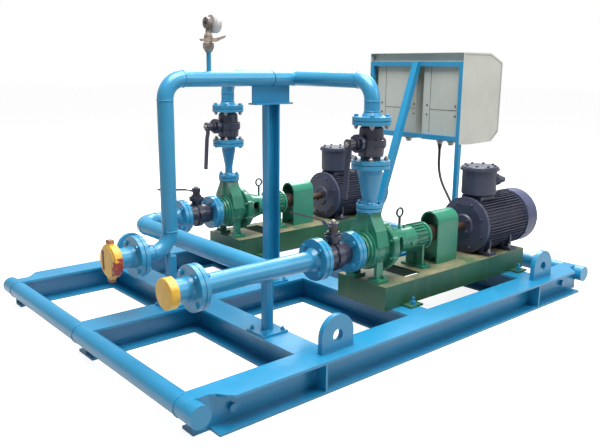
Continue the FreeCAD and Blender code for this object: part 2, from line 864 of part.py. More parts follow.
def pump_base(name, line):
    """A welded box base, open below and between the feet, with anchor plates."""
    top = S.axis_height - S.shaft_height
    half = S.base_width / 2
    wall = S.base_wall
    end = S.base_start + S.base_length
    shell = block((S.base_start, end), (line - half, line + half), (beam_top, top))
    hollow = block((S.base_start + wall, end - wall), (line - half + wall, line + half - wall),
                   (beam_top - 1, top - wall))
    well = block((S.base_start + 210, S.base_start + 330), (line - half + 60, line + half - 60),
                 (top - 20, top + 1))
    slot = block((S.guard_start + 20, S.guard_start + S.guard_length - 20), (line - 40, line + 40),
                 (top - 20, top + 1))
    plates = []
    for start in (S.cross_two + 6, S.cross_three + 6):
        for side in (-1, 1):
            low = line + half * side if side > 0 else line - half - S.foot_reach
            plates.append(box((S.foot_length, S.foot_reach, S.plate_thickness), (start, low, beam_top)))
    node(name + "_base", fuse([cut(shell, fuse([hollow, well, slot]))] + plates))


def volute():
    """The spiral chamber: four quarter arcs of growing radius, rounded on both sides."""
    growth = float(S.volute_growth)
    radius = float(S.volute_radius)
    centre = Vector()
    arcs = []
    for quarter in range(4):
        angles = [math.radians(TONGUE_ANGLE + 90 * quarter + step) for step in (0, 45, 90)]
        rays = [Vector(math.cos(angle), math.sin(angle), 0) for angle in angles]
        if quarter:
            centre = centre - rays[0] * growth
            radius += growth
        arcs.append(Part.Arc(*[centre + ray * radius for ray in rays]).toShape())
    tongue = Part.LineSegment(arcs[-1].lastVertex().Point, arcs[0].firstVertex().Point).toShape()
    solid = Part.Face(Part.Wire(arcs + [tongue])).extrude(Z_AXIS * float(S.volute_depth))
    rims = [edge for edge in solid.Edges if isinstance(edge.Curve, Part.Circle)]
    item = doc.addObject("Part::Feature", "Volute")
    item.Shape = solid.makeFillet(float(S.volute_round), rims)
    return item


def pump_casing(name, line):
    """Suction nozzle, spiral chamber, delivery neck, cover ring and two feet."""
    face = S.pump_face
    centre = (face, line, S.axis_height)
    depth = S.casing_depth
    nose = turned([
        (0, 0), (S.suction_flange, 0), (S.suction_flange, 22), (S.suction_pipe + 16, 26),
        (S.suction_pipe + 12, 44), (64, 56), (72, 56), (74, 66), (84, 68), (86, 78), (96, 80),
        (96, depth - 26), (S.cover_radius - 6, depth - 26), (S.cover_radius, depth - 20),
        (S.cover_radius, depth), (0, depth),
    ], centre, "x")
    spiral = volute()
    put(spiral, (header_line - S.volute_depth / 2, line, S.axis_height), turn("x"))
    rise = S.pump_rise - S.pump_flange_thickness
    skirt = extruded([
        (-S.neck_foot, 20), (S.neck_foot, 20), (S.neck_foot - 18, 96), (S.nozzle_radius + 12, rise - 26),
        (S.nozzle_radius + 4, rise), (-S.nozzle_radius - 4, rise), (-S.nozzle_radius - 12, rise - 26),
        (18 - S.neck_foot, 96),
    ], S.neck_depth, (header_line, line, S.axis_height), "YZ_Plane", True)
    neck = cone(S.nozzle_radius + 16, S.nozzle_radius + 4, rise - 90, (header_line, line, S.axis_height + 90))
    bosses = []
    for index in range(COVER_BOSSES):
        angle = 2 * math.pi * (index + 0.5) / COVER_BOSSES
        place = (face + depth - 30, line + S.cover_radius * math.cos(angle) * 0.94,
                 S.axis_height + S.cover_radius * math.sin(angle) * 0.94)
        bosses.append(rod(S.cover_boss, 30, place, "x"))
    flange = rod(S.pump_flange, S.pump_flange_thickness, (header_line, line, S.axis_height + rise))
    top = S.axis_height - S.shaft_height
    feet = []
    for side in (-1, 1):
        low = line + 46 if side > 0 else line - 112
        pads = box((74, 66, 16), (header_line - 37, low, top))
        rib_low = line + 66 if side > 0 else line - 84
        web = box((44, 18, 108), (header_line - 22, rib_low, top + 10))
        feet += [pads, web]
    node(name + "_casing", fuse([nose, spiral, skirt, neck, flange] + bosses + feet))


def bearing_frame(name, line):
    """Lantern with side windows, ribbed bearing housing, support foot and lifting eye."""
    start = S.pump_face + S.casing_depth
    bore = S.pump_shaft + S.running_clearance
    length = S.bearing_length
    housing = S.bearing_radius
    body = turned([
        (54, 0), (S.cover_radius - 4, 0), (S.cover_radius - 4, 14), (94, 18), (housing + 4, 120),
        (housing, 134), (housing, length - 24),
        (housing + 9, length - 22), (housing + 9, length - 8), (housing - 14, length - 4), (40, length),
        (bore, length), (bore, 108), (54, 94),
    ], (start, line, S.axis_height), "x")
    fan_of(body, [(housing - 3, 220), (housing + S.housing_fin, 220), (housing + S.housing_fin, length - 30),
                  (housing - 3, length - 30)], S.fin_thickness, HOUSING_FINS, "XZ_Plane")
    windows = block((start + 24, start + 90), (line - 130, line + 130),
                    (S.axis_height - 34, S.axis_height + 38))
    top = S.axis_height - S.shaft_height
    foot_line = start + length - 62
    foot = fuse([
        box((60, 150, 12), (foot_line - 14, line - 75, top)),
        box((14, 110, S.shaft_height), (foot_line, line - 55, top)),
        box((46, 12, S.shaft_height), (foot_line - 14, line - 6, top)),
    ])
    core = rod(housing - 2, length, (start, line, S.axis_height), "x")
    eye_line = start + 140
    eye_height = S.axis_height + housing + S.eye_rise
    shank = rod(7, S.eye_rise - S.eye_radius, (eye_line, line, S.axis_height + housing - 4))
    ring = primitive("Torus", {"Radius1": S.eye_radius, "Radius2": 5.5}, (eye_line, line, eye_height),
                     Rotation(X_AXIS, 90))
    frame = fuse([cut(body, windows), cut(foot, core), shank, ring])
    node(name + "_bearing_frame", frame)


def rotors(name, line):
    """Pump shaft, spacer coupling and motor shaft with its fan, all on one axis."""
    start = S.pump_face + S.casing_depth
    height = S.axis_height
    seal = start + 20
    hub_end = S.coupling_start + S.hub_length
    length = hub_end - start - 1
    node(name + "_pump_shaft", fuse([
        rod(S.pump_shaft, length, (start + 1, line, height), "x"),
        rod(S.pump_shaft + 12, 46, (seal, line, height), "x"),
    ]))
    radius = S.coupling_radius
    spacer = S.spacer_radius
    hub = S.hub_length
    total = S.coupling_length
    coupling = turned([
        (S.pump_shaft, 0), (radius - 10, 0), (radius - 10, 14), (radius, 18), (radius, hub),
        (spacer, hub + 4),
        (spacer, total - hub - 4), (radius, total - hub), (radius, total - 18), (radius - 10, total - 14),
        (radius - 10, total), (S.motor_shaft, total), (S.motor_shaft, total - hub), (12, total - hub),
        (12, hub), (S.pump_shaft, hub),
    ], (S.coupling_start, line, height), "x")
    node(name + "_coupling", coupling)

    shaft_start = S.coupling_start + total - hub
    cowl_start = S.motor_start + S.shield_thickness + S.frame_length
    fan_line = cowl_start + 30
    shaft = rod(S.motor_shaft, fan_line + 44 - shaft_start, (shaft_start, line, height), "x")
    fan = doc.addObject("PartDesign::Body", "Body")
    outline_sketch = sketch_on(fan, "XZ_Plane")
    outline(outline_sketch, [
        (S.motor_shaft, 0), (62, 0), (S.fan_radius - 8, 6), (S.fan_radius - 8, 9), (62, 5), (34, 8), (34, 40),
        (S.motor_shaft, 40),
    ])
    disc_feature = fan.newObject("PartDesign::Revolution", "Revolution")
    disc_feature.Profile = outline_sketch
    disc_feature.ReferenceAxis = (outline_sketch, ["V_Axis"])
    disc_feature.Angle = 360
    fan_of(fan, [(32, 6), (S.fan_radius, 6), (S.fan_radius, 38), (32, 38)], 4, FAN_BLADES, "XZ_Plane")
    put(fan, (fan_line, line, height), turn("x"))
    node(name + "_motor_rotor", fuse([shaft, fan]))


def coupling_guard(name, line):
    """An arched sheet cover over the coupling with an arch-shaped opening at each end."""
    top = S.axis_height - S.shaft_height
    arch = S.axis_height + S.guard_arch

    def arched(inset, start, length):
        half = S.guard_half_width - inset
        walls = block((start, start + length), (line - half, line + half), (top, arch))
        return fuse([walls, rod(half, length, (start, line, arch), "x")])

    wall = S.guard_wall
    shell = arched(0, S.guard_start, S.guard_length)
    hollow = arched(wall, S.guard_start + wall, S.guard_length - wall * 2)
    mouth = arched(S.guard_rim, S.guard_start - 1, S.guard_length + 2)
    node(name + "_guard", cut(shell, fuse([hollow, mouth])))


def motor(name, line):
    """Finned motor frame on four feet, fan cowl and round terminal box."""
    height = S.axis_height
    core = S.motor_radius - S.fin_height
    shield = S.shield_thickness
    length = S.frame_length
    bore = S.motor_shaft + S.running_clearance
    total = shield + length
    body = doc.addObject("PartDesign::Body", "Body")
    sketch = sketch_on(body, "XZ_Plane")
    outline(sketch, [
        (bore, -16), (58, -16), (66, -8), (S.motor_radius - 40, -8), (S.motor_radius - 14, 0),
        (S.motor_radius, 4), (S.motor_radius, shield), (core, shield), (core, total), (bore, total),
    ])
    feature = body.newObject("PartDesign::Revolution", "Revolution")
    feature.Profile = sketch
    feature.ReferenceAxis = (sketch, ["V_Axis"])
    feature.Angle = 360
    fan_of(body, [(core - 3, shield + 8), (S.motor_radius - 1, shield + 8), (S.motor_radius - 1, total - 10),
                  (core - 3, total - 10)], S.fin_thickness, FIN_COUNT, "XZ_Plane")
    put(body, (S.motor_start, line, height), turn("x"))
    top = height - S.shaft_height
    feet = []
    for start in (S.motor_start + 40, S.motor_start + 240):
        for side in (-1, 1):
            low = line + 84 if side > 0 else line - 152
            feet.append(box((68, 68, 18), (start, low, top)))
            rib = line + 92 if side > 0 else line - 132
            feet.append(box((14, 40, 84), (start + 27, rib, top + 10)))
            heel = line + 84 if side > 0 else line - 104
            feet.append(box((68, 20, 66), (start, heel, top)))
    boss = box((130, 130, S.shaft_height - 100), (S.box_line - 65, line - 65, height + 100))
    hollow = rod(bore, total + 40, (S.motor_start - 20, line, height), "x")
    node(name + "_motor", cut(fuse([body, boss] + feet), hollow))

    radius = S.box_radius
    low = height + S.shaft_height
    rise = S.box_height
    box_body = turned([
        (0, 0), (radius - 14, 0), (radius - 2, 12), (radius - 2, rise - 26), (radius + 4, rise - 24),
        (radius + 4, rise - 6), (radius - 2, rise), (0, rise),
    ], (S.box_line, line, low))
    gland_height = low + 66
    gland_base = rod(S.gland_radius + 10, 26, (S.box_line + radius - 12, line, gland_height), "x")
    gland = rod(S.gland_radius, S.gland_length, (S.box_line + radius, line, gland_height), "x")
    node(name + "_terminal_box", fuse([box_body, gland_base, gland]))

    cowl = doc.addObject("PartDesign::Body", "Body")
    sketch = sketch_on(cowl, "XZ_Plane")
    outer = S.motor_radius + 2
    wall = S.cowl_wall
    deep = S.cowl_length
    inner = outer - wall
    outline(sketch, [
        (core, 0), (outer, 0), (outer, deep - 22), (outer - 20, deep), (0, deep), (0, deep - wall),
        (inner - 19, deep - wall), (inner, deep - 23), (inner, wall), (core, wall),
    ])
    feature = cowl.newObject("PartDesign::Revolution", "Revolution")
    feature.Profile = sketch
    feature.ReferenceAxis = (sketch, ["V_Axis"])
    feature.Angle = 360
    slot_sketch = sketch_on(cowl, "XY_Plane", Placement(Vector(0, 0, float(deep) - 10), Rotation()))
    bind(slot_sketch, "AttachmentOffset.Base.z", deep - 10)
    outline(slot_sketch, [(44, -7), (outer - 32, -15), (outer - 32, 15), (44, 7)])
    slot = cowl.newObject("PartDesign::Pocket", "Pocket")
    slot.Profile = slot_sketch
    slot.Length = 30
    slot.Reversed = True
    repeated(cowl, slot, GRILLE_SLOTS)
    put(cowl, (S.motor_start + total, line, height), turn("x"))
    node(name + "_fan_cowl", cowl)


def pump_set(name, line):
    pump_base(name, line)
    pump_casing(name, line)
    bearing_frame(name, line)
    rotors(name, line)
    coupling_guard(name, line)
    motor(name, line)


# Control panel at the motor end

panel_face = half_length + S.panel_bar / 2


def panel_stand():
    """Two posts on the end tube, two bars and a slanting stay to the last cross beam."""
    bar = S.panel_bar
    half = bar / 2
    parts = []
    for line in (0 * bar, S.panel_width):
        parts.append(box((bar, bar, S.panel_height - tube_height),
                         (half_length - half, line - half, tube_height)))
    for low in (S.panel_height - bar, S.panel_sill):
        parts.append(box((bar, S.panel_width, bar), (half_length - half, 0, low)))
    foot = S.cross_three + 6
    head = half_length - half
    stay = extruded([
        (foot - 18, beam_top), (foot + 22, beam_top), (head, S.panel_height - 55), (head, S.panel_height),
        (head - 22, S.panel_height),
    ], S.stay_width, (0, 0, 0), "XZ_Plane", True)
    put(stay, (0, S.stay_line, 0))
    tube = end_tube(1, S.tube_radius)
    beam_end = block((half_length - bar, half_length), (0 - bar, bar), (tube_height - 1, beam_top))
    node("panel_stand", cut(fuse(parts + [stay]), fuse([tube, beam_end])))


def rain_hood():
    """A sheet cover with chamfered cheeks over the two cabinets, open in front and below."""
    wall = S.hood_wall
    half = S.panel_bar / 2
    start = half_length - half
    end = start + S.hood_depth + 15
    top = S.hood_height
    sill = S.panel_sill - 18
    cheek = [
        (start, sill), (start + 125, sill - 6), (end - 80, sill), (end, sill + 62), (end, top - 60),
        (end - 145, top), (start, top),
    ]
    width = S.panel_width + S.panel_bar + wall * 2
    outer = extruded(cheek, width, (0, S.panel_width + half + wall, 0), "XZ_Plane")
    inner_points = [
        (start - 1, sill - 20), (end + 20, sill - 20), (end + 20, top - 68 - wall), (end - 145, top - wall),
        (start - 1, top - wall),
    ]
    inner = extruded(inner_points, S.panel_width + S.panel_bar, (0, S.panel_width + half, 0), "XZ_Plane")
    node("rain_hood", cut(outer, inner))


def cabinet_spans():
    """The two cabinets' Y bounds: near and far."""
    margin = 26
    middle = S.panel_width / 2 - 38
    near = (S.panel_bar / 2 + margin - 4, middle - S.cabinet_gap / 2)
    far = (middle + S.cabinet_gap / 2, S.panel_width - S.panel_bar / 2 - margin + 4)
    return {"near": near, "far": far}


def hinge_pair(axis, side, low, high):
    """Hinge leaves and pins for the cabinet, and knuckles for its door, at two heights."""
    fixed, knuckles = [], []
    pin = S.hinge_pin
    barrel = S.hinge_barrel
    tall = S.hinge_length
    for height in (low + 60, high - 60 - tall):
        fixed.append(rod(pin, tall, (axis[0], axis[1], height)))
        for place in (height - tall / 2, height + tall):
            fixed.append(rod(barrel, tall / 2, (axis[0], axis[1], place)))
            across = (axis[1], axis[1] + barrel) if side > 0 else (axis[1] - barrel, axis[1])
            fixed.append(block((axis[0] - barrel * 3, axis[0] - 0.5), across, (place, place + tall / 2)))
        knuckle_low = height + S.hinge_play
        knuckle_high = height + tall - S.hinge_play
        eye = rod(barrel, knuckle_high - knuckle_low, (axis[0], axis[1], knuckle_low))
        reach = barrel + 3
        across = (axis[1], axis[1] + reach) if side > 0 else (axis[1] - reach, axis[1])
        tab = block((axis[0] + 1, axis[0] + barrel), across, (knuckle_low, knuckle_high))
        bore = rod(pin + S.running_clearance, tall * 2, (axis[0], axis[1], height - tall / 2))
        knuckles.append(cut(fuse([eye, tab]), bore))
    return fixed, knuckles


def cabinets():
    """Two hollow cabinets with hinged doors on the side away from the pumps."""
    wall = 4
    low = S.panel_sill - 8
    high = S.panel_height - 22
    for name, (start, end) in cabinet_spans().items():
        front = panel_face + S.cabinet_depth
        side = 1 if name == "near" else -1
        hinge_side = start - S.hinge_barrel if side > 0 else end + S.hinge_barrel
        axis = (front + S.door_gap / 2, hinge_side)
        fixed, knuckles = hinge_pair(axis, side, low, high)
        shell = block((panel_face, front), (start, end), (low, high))
        hollow = block((panel_face + wall, front + 1), (start + wall, end - wall), (low + wall, high - wall))
        glands = []
        for share in (0.3, 0.62):
            gland_line = start + (end - start) * share
            glands.append(rod(S.gland_radius, 30, (panel_face + 70, gland_line, low), "-z"))
        node(name + "_cabinet", fuse([cut(shell, hollow)] + glands + fixed))
        door_face = front + S.door_gap
        door = block((door_face, door_face + S.door_thickness), (start + 1, end - 1), (low + 1, high - 1))
        recess = block((door_face - 1, door_face + S.door_thickness - 4), (start + 12, end - 12),
                       (low + 12, high - 12))
        knob_line = end - 36 if side > 0 else start + 36
        knob_base = (door_face + S.door_thickness - 4, knob_line, (low + high) / 2)
        knob = rod(14, 20, knob_base, "x")
        node(name + "_door", fuse([cut(door, recess), knob] + knuckles))


# Motor cable

def cable():
    """The near motor's cable from its gland to the near cabinet, in straight runs and arcs."""
    radius = S.cable_radius
    gland = Vector(float(S.box_line + S.box_radius + S.gland_length), float(S.near_line),
                   float(S.axis_height + S.shaft_height + 66))
    start, end = cabinet_spans()["near"]
    entry = Vector(float(panel_face + 70), float(start + (end - start) * 0.62), float(S.panel_sill - 38))
    points = [gland]
    for shares in CABLE_ROUTE:
        points.append(Vector(*[low + (high - low) * share for low, high, share in zip(gland, entry, shares)]))
    points += [entry - Vector(0, 0, float(radius) * 7), entry]
    edges = []
    position = points[0]
    for index in range(1, len(points) - 1):
        before, corner, after = points[index - 1:index + 2]
        back = before - corner
        ahead = after - corner
        half_turn = (math.pi - back.getAngle(ahead)) / 2
        reach = 0.45 * min(back.Length, ahead.Length)
        arc_radius = reach / math.tan(half_turn)
        print("cable arc radius %.0f" % arc_radius)
        first = corner + back.normalize() * reach
        last = corner + ahead.normalize() * reach
        bisector = (first + last) * 0.5 - corner
        centre_distance = math.hypot(arc_radius, reach)
        middle = corner + bisector.normalize() * (centre_distance - arc_radius)
        edges.append(Part.LineSegment(position, first).toShape())
        edges.append(Part.Arc(first, middle, last).toShape())
        position = last
    edges.append(Part.LineSegment(position, points[-1]).toShape())
    path = Part.Wire(edges)
    direction = points[1] - points[0]
    profile = Part.Wire(Part.Circle(points[0], direction, float(radius)).toShape())
    item = doc.addObject("Part::Feature", "Cable")
    item.Shape = path.makePipeShell([profile], True, False)
    expected = math.pi * float(radius) ** 2 * path.Length
    print("cable volume share %.4f" % (item.Shape.Volume / expected))
    node("motor_cable", item)


long_beams()
cross_beams()
end_tubes()
lifting_lugs()
suction_manifold()
discharge_riser()
discharge_header()
hose_adapters()
cap("suction_cap", S.suction_cap_radius, S.suction_cap_reach, SUCTION_CAP_LUGS, *hose_ends[0])
cap("delivery_cap", S.delivery_cap_radius, S.delivery_cap_reach, DELIVERY_CAP_LUGS, *hose_ends[1])
reducers()
flange_gaskets()
ball_valves()
manifold_post()
pipe_props()
gauge()
for set_name, set_line in lines.items():
    pump_set(set_name, set_line)
panel_stand()
rain_hood()
cabinets()
cable()

doc.recompute()
for item in doc.Objects:
    if "Invalid" in item.State or "Error" in item.State:
        raise RuntimeError("%s (%s) failed: %s" % (item.Label, item.Name, item.State))

os.makedirs("parts", exist_ok=True)
for item in nodes:
    if item.Shape.isNull() or not item.Shape.isValid():
        raise RuntimeError("%s has no valid shape" % item.Label)
    item.Shape.exportStep("parts/%s.step" % item.Label)
print("%d sub-parts written" % len(nodes))
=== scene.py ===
import json
import math

import bmesh
import bpy
from mathutils import Matrix, Vector


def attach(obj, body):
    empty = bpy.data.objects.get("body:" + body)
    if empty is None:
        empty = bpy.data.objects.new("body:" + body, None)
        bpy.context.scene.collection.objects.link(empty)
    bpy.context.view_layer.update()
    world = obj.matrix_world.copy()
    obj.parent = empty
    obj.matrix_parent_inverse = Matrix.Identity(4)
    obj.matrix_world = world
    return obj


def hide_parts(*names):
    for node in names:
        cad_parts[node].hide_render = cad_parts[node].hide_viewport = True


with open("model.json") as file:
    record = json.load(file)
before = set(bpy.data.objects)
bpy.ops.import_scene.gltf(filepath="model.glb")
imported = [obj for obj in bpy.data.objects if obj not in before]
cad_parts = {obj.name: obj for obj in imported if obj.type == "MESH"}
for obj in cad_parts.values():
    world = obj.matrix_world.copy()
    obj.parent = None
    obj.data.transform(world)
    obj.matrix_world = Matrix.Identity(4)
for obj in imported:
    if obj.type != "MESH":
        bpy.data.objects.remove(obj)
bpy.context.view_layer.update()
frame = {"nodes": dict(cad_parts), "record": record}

bl_info = {
    "name": "Pump skid dressing",
    "version": (1, 0, 0),
    "blender": (4, 5, 0),
    "location": "3D View > Sidebar > Pump skid",
    "description": "Paint, fasteners, weld seams and small fittings for a twin pump skid",
    "category": "Object",
}

# Places and pipe sizes in metres, in the skid's own frame
LINES = {"near": -0.562, "far": 0.618}
AXIS_HEIGHT = 0.418
HEADER_LINE = -0.109
HEADER_HEIGHT = 1.220
RISER_LINE = -0.884
CROSS_LINE = -0.735
POST_LINE = -0.269
SUCTION_PIPE, SUCTION_BEND = 0.0445, 0.114
DELIVERY_PIPE, DELIVERY_BEND = 0.038, 0.095
PROP_RADIUS = 0.027
SUCTION_VALVE_LINE = -0.345
DELIVERY_VALVE_HEIGHT = 0.932
BEAM_TOP, BEAM_HALF_WIDTH = 0.140, 0.070
BEAM_SPACING = 0.9
CROSS_BEAMS = (CROSS_LINE, -0.031, 0.898)
WEB_FACE = 0.0045
LUG_LINES = (-0.640, 0.937)
END_TUBE_LINE, END_TUBE_HEIGHT = 1.335, 0.0955
PLATE_TOP = 0.150
BASE_TOP = 0.258
TERMINAL_BOX_LINE = 0.786
CABINET_BACK, CABINET_LOW, CABINET_HIGH = 1.350, 0.789, 1.298
GLAND_LINE = 1.420
X_AXIS, Y_AXIS, Z_AXIS = Vector((1, 0, 0)), Vector((0, 1, 0)), Vector((0, 0, 1))


def length_size(name, description, default, low=0.0, high=10.0):
    return bpy.props.FloatProperty(name=name, description=description, default=default, min=low, max=high,
                                   unit="LENGTH", subtype="DISTANCE", precision=4)


def shade(name, description, default):
    return bpy.props.FloatVectorProperty(name=name, description=description, default=default, size=3,
                                         min=0.0, max=1.0, subtype="COLOR")


def share(name, description, default):
    return bpy.props.FloatProperty(name=name, description=description, default=default, min=0.0, max=1.0,
                                   subtype="FACTOR")


class SkidPaint(bpy.types.PropertyGroup):
    """Colours of the skid's finishes."""

    skid_blue: shade("Skid blue", "Enamel on the beams, tubes and lugs", (0.012, 0.245, 0.46))
    pipe_blue: shade("Pipe blue", "Enamel on the pipes and flanges", (0.030, 0.280, 0.49))
    pump_green: shade("Pump green", "Enamel on the pumps, guards and bases", (0.020, 0.205, 0.125))
    base_olive: shade("Base olive", "Duller green on the pump bases", (0.028, 0.125, 0.058))
    worn_tan: shade("Worn tan", "Dust and bare primer on the pump bases", (0.27, 0.22, 0.13))
    motor_grey: shade("Motor grey", "Paint on the motors", (0.038, 0.045, 0.085))
    valve_dark: shade("Valve dark", "Paint on the ball valve bodies", (0.022, 0.026, 0.055))
    cap_yellow: shade("Cap yellow", "Enamel on the hose end caps", (0.80, 0.46, 0.045))
    cabinet_grey: shade("Cabinet grey", "Paint on the cabinets and doors", (0.46, 0.48, 0.43))
    hood_cream: shade("Hood cream", "Paint on the rain hood", (0.52, 0.53, 0.475))
    zinc: shade("Zinc", "Plated nuts and screws", (0.36, 0.335, 0.31))
    shaft_steel: shade("Shaft steel", "Turned shafts", (0.24, 0.15, 0.10))
    bronze: shade("Bronze", "The cast body of the gauge cock", (0.36, 0.29, 0.24))
    cap_rust: shade("Cap rust", "Where the cap paint has worn away", (0.22, 0.055, 0.035))
    rubber: shade("Rubber", "Cable sheath and gaskets", (0.012, 0.012, 0.013))


class SkidHardware(bpy.types.PropertyGroup):
    """Sizes of the fasteners, seams and the motor lead."""

    flange_bolt: length_size("Flange bolt", "Corner radius of a flange bolt's head", 0.0118)
    pump_bolt: length_size("Pump bolt", "Corner radius of a bolt on the pump flange", 0.0104)
    anchor_bolt: length_size("Anchor bolt", "Corner radius of a base anchor bolt", 0.0139)
    cover_bolt: length_size("Cover bolt", "Corner radius of a casing or shield bolt", 0.0075)
    screw: length_size("Screw", "Head radius of a sheet metal screw", 0.0045)
    seam: length_size("Weld seam", "Radius of a weld bead", 0.0028)
    lead: length_size("Motor lead", "Diameter of the motor lead", 0.018)


class SkidStudio(bpy.types.PropertyGroup):
    """The camera and the light."""

    lens: bpy.props.FloatProperty(name="Lens", description="Focal length", default=41.11, min=10, max=200,
                                  unit="CAMERA")
    key_power: bpy.props.FloatProperty(name="Key", description="Power of the large lamp above", default=500,
                                       min=0, unit="POWER")
    back_power: bpy.props.FloatProperty(name="Back", description="Power of the high lamp behind", default=330,
                                        min=0, unit="POWER")
    side_power: bpy.props.FloatProperty(name="Side", description="Power of the lamp at the right", default=85,
                                        min=0, unit="POWER")
    sky: share("Sky", "Strength of the light from all round", 0.2)


# Mesh helpers

def frame_at(centre, axis, spin=0.0):
    """A matrix that takes local Z to an axis at a centre."""
    turn = Vector(axis).normalized().to_track_quat("Z", "X").to_matrix().to_4x4()
    return Matrix.Translation(centre) @ turn @ Matrix.Rotation(spin, 4, "Z")


def finish_piece(name, bm, body, material, smooth=35.0):
    """Turns a bmesh into a named piece that rides on a body."""
    bmesh.ops.remove_doubles(bm, verts=bm.verts, dist=1e-6)
    bmesh.ops.recalc_face_normals(bm, faces=bm.faces)
    mesh = bpy.data.meshes.new(name)
    bm.to_mesh(mesh)
    bm.free()
    for polygon in mesh.polygons:
        polygon.use_smooth = True
    mesh.set_sharp_from_angle(angle=math.radians(smooth))
    piece = bpy.data.objects.new(name, mesh)
    bpy.context.scene.collection.objects.link(piece)
    mesh.materials.append(material)
    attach(piece, body)
    return piece


def add_copy(bm, template, matrix):
    """Adds a copy of a template bmesh to another."""
    mesh = bpy.data.meshes.new("Template")
    template.to_mesh(mesh)
    mesh.transform(matrix)
    bm.from_mesh(mesh)
    bpy.data.meshes.remove(mesh)


def cylinder(bm, radius, depth, matrix, sides=24, top=None):
    """A capped round bar that stands on its matrix's origin."""
    bmesh.ops.create_cone(bm, cap_ends=True, segments=sides, radius1=radius,
                          radius2=radius if top is None else top, depth=depth,
                          matrix=matrix @ Matrix.Translation((0, 0, depth / 2)))


def slab(bm, low, high, matrix=None):
    """A box between two corners."""
    low, high = Vector(low), Vector(high)
    size = high - low
    place = Matrix.Translation((low + high) / 2) @ Matrix.Diagonal((*size, 1))
    bmesh.ops.create_cube(bm, size=1, matrix=(matrix or Matrix()) @ place)


def hex_head(radius, height, washer=True, stud=0.0):
    """A hexagon head or nut with a chamfer, a washer and a stud end, standing on Z 0."""
    bm = bmesh.new()
    base = 0.0
    if washer:
        cylinder(bm, radius * 1.12, radius * 0.2, Matrix(), 16)
        base = radius * 0.2
    top = base + height
    cylinder(bm, radius, height * 0.82, Matrix.Translation((0, 0, base)), 6)
    chamfer = Matrix.Translation((0, 0, base + height * 0.82))
    cylinder(bm, radius * 0.99, height * 0.18, chamfer, 6, radius * 0.84)
    if stud:
        tip = Matrix.Translation((0, 0, top + stud * 0.8))
        cylinder(bm, radius * 0.56, stud * 0.8, Matrix.Translation((0, 0, top)), 10)
        cylinder(bm, radius * 0.56, stud * 0.2, tip, 10, radius * 0.46)
    return bm


def pan_head(radius):
    """A plain domed screw head, standing on Z 0."""
    bm = bmesh.new()
    cylinder(bm, radius, radius * 0.35, Matrix(), 14)
    cylinder(bm, radius, radius * 0.3, Matrix.Translation((0, 0, radius * 0.35)), 14, radius * 0.7)
    return bm


def around(centre, axis, radius, count, start=0.0):
    """Matrices evenly spaced round an axis, each with Z along the axis."""
    base = frame_at(centre, axis)
    out = Matrix.Translation((radius, 0, 0))
    return [base @ Matrix.Rotation(start + 2 * math.pi * index / count, 4, "Z") @ out
            for index in range(count)]


def seam_ring(bm, centre, axis, radius, size, ripples=44):
    """A rippled weld bead round a pipe."""
    place = frame_at(centre, axis)
    upright = Matrix.Translation((radius, 0, 0)) @ Matrix.Rotation(math.pi / 2, 4, "X")
    verts = bmesh.ops.create_circle(bm, segments=6, radius=size, matrix=upright)["verts"]
    edges = list({edge for vert in verts for edge in vert.link_edges})
    start = len(bm.verts) - len(verts)
    bmesh.ops.spin(bm, geom=verts + edges, cent=(0, 0, 0), axis=(0, 0, 1), angle=2 * math.pi, steps=60,
                   use_merge=True)
    bm.verts.ensure_lookup_table()
    ring = bm.verts[start:]
    for vert in ring:
        angle = math.atan2(vert.co.y, vert.co.x)
        reach = math.hypot(vert.co.x, vert.co.y)
        grown = radius + (reach - radius) * (1 + 0.18 * math.sin(angle * ripples))
        vert.co.x *= grown / reach
        vert.co.y *= grown / reach
    bmesh.ops.transform(bm, matrix=place, verts=ring)


def curve_mesh(curve):
    """The mesh of a curve or a text. The curve is removed."""
    item = bpy.data.objects.new(curve.name, curve)
    bpy.context.scene.collection.objects.link(item)
    bpy.context.view_layer.update()
    mesh = bpy.data.meshes.new_from_object(item.evaluated_get(bpy.context.evaluated_depsgraph_get()))
    bpy.data.objects.remove(item)
    bpy.data.curves.remove(curve)
    return mesh


def bead(bm, points, size, closed=False):
    """A weld bead along a line of points."""
    curve = bpy.data.curves.new("Bead", "CURVE")
    curve.dimensions = "3D"
    curve.bevel_depth = size
    curve.bevel_resolution = 1
    curve.use_fill_caps = not closed
    spline = curve.splines.new("POLY")
    spline.points.add(len(points) - 1)
    for point, place in zip(spline.points, points):
        point.co = (*place, 1)
    spline.use_cyclic_u = closed
    mesh = curve_mesh(curve)
    bm.from_mesh(mesh)
    bpy.data.meshes.remove(mesh)


# Finishes

def maths(tree, operation, *values):
    """A maths node whose inputs are numbers or other nodes' outputs."""
    node = tree.nodes.new("ShaderNodeMath")
    node.operation = operation
    for socket, value in zip(node.inputs, values):
        if isinstance(value, (int, float)):
            socket.default_value = value
        else:
            tree.links.new(value, socket)
    return node.outputs["Value"]


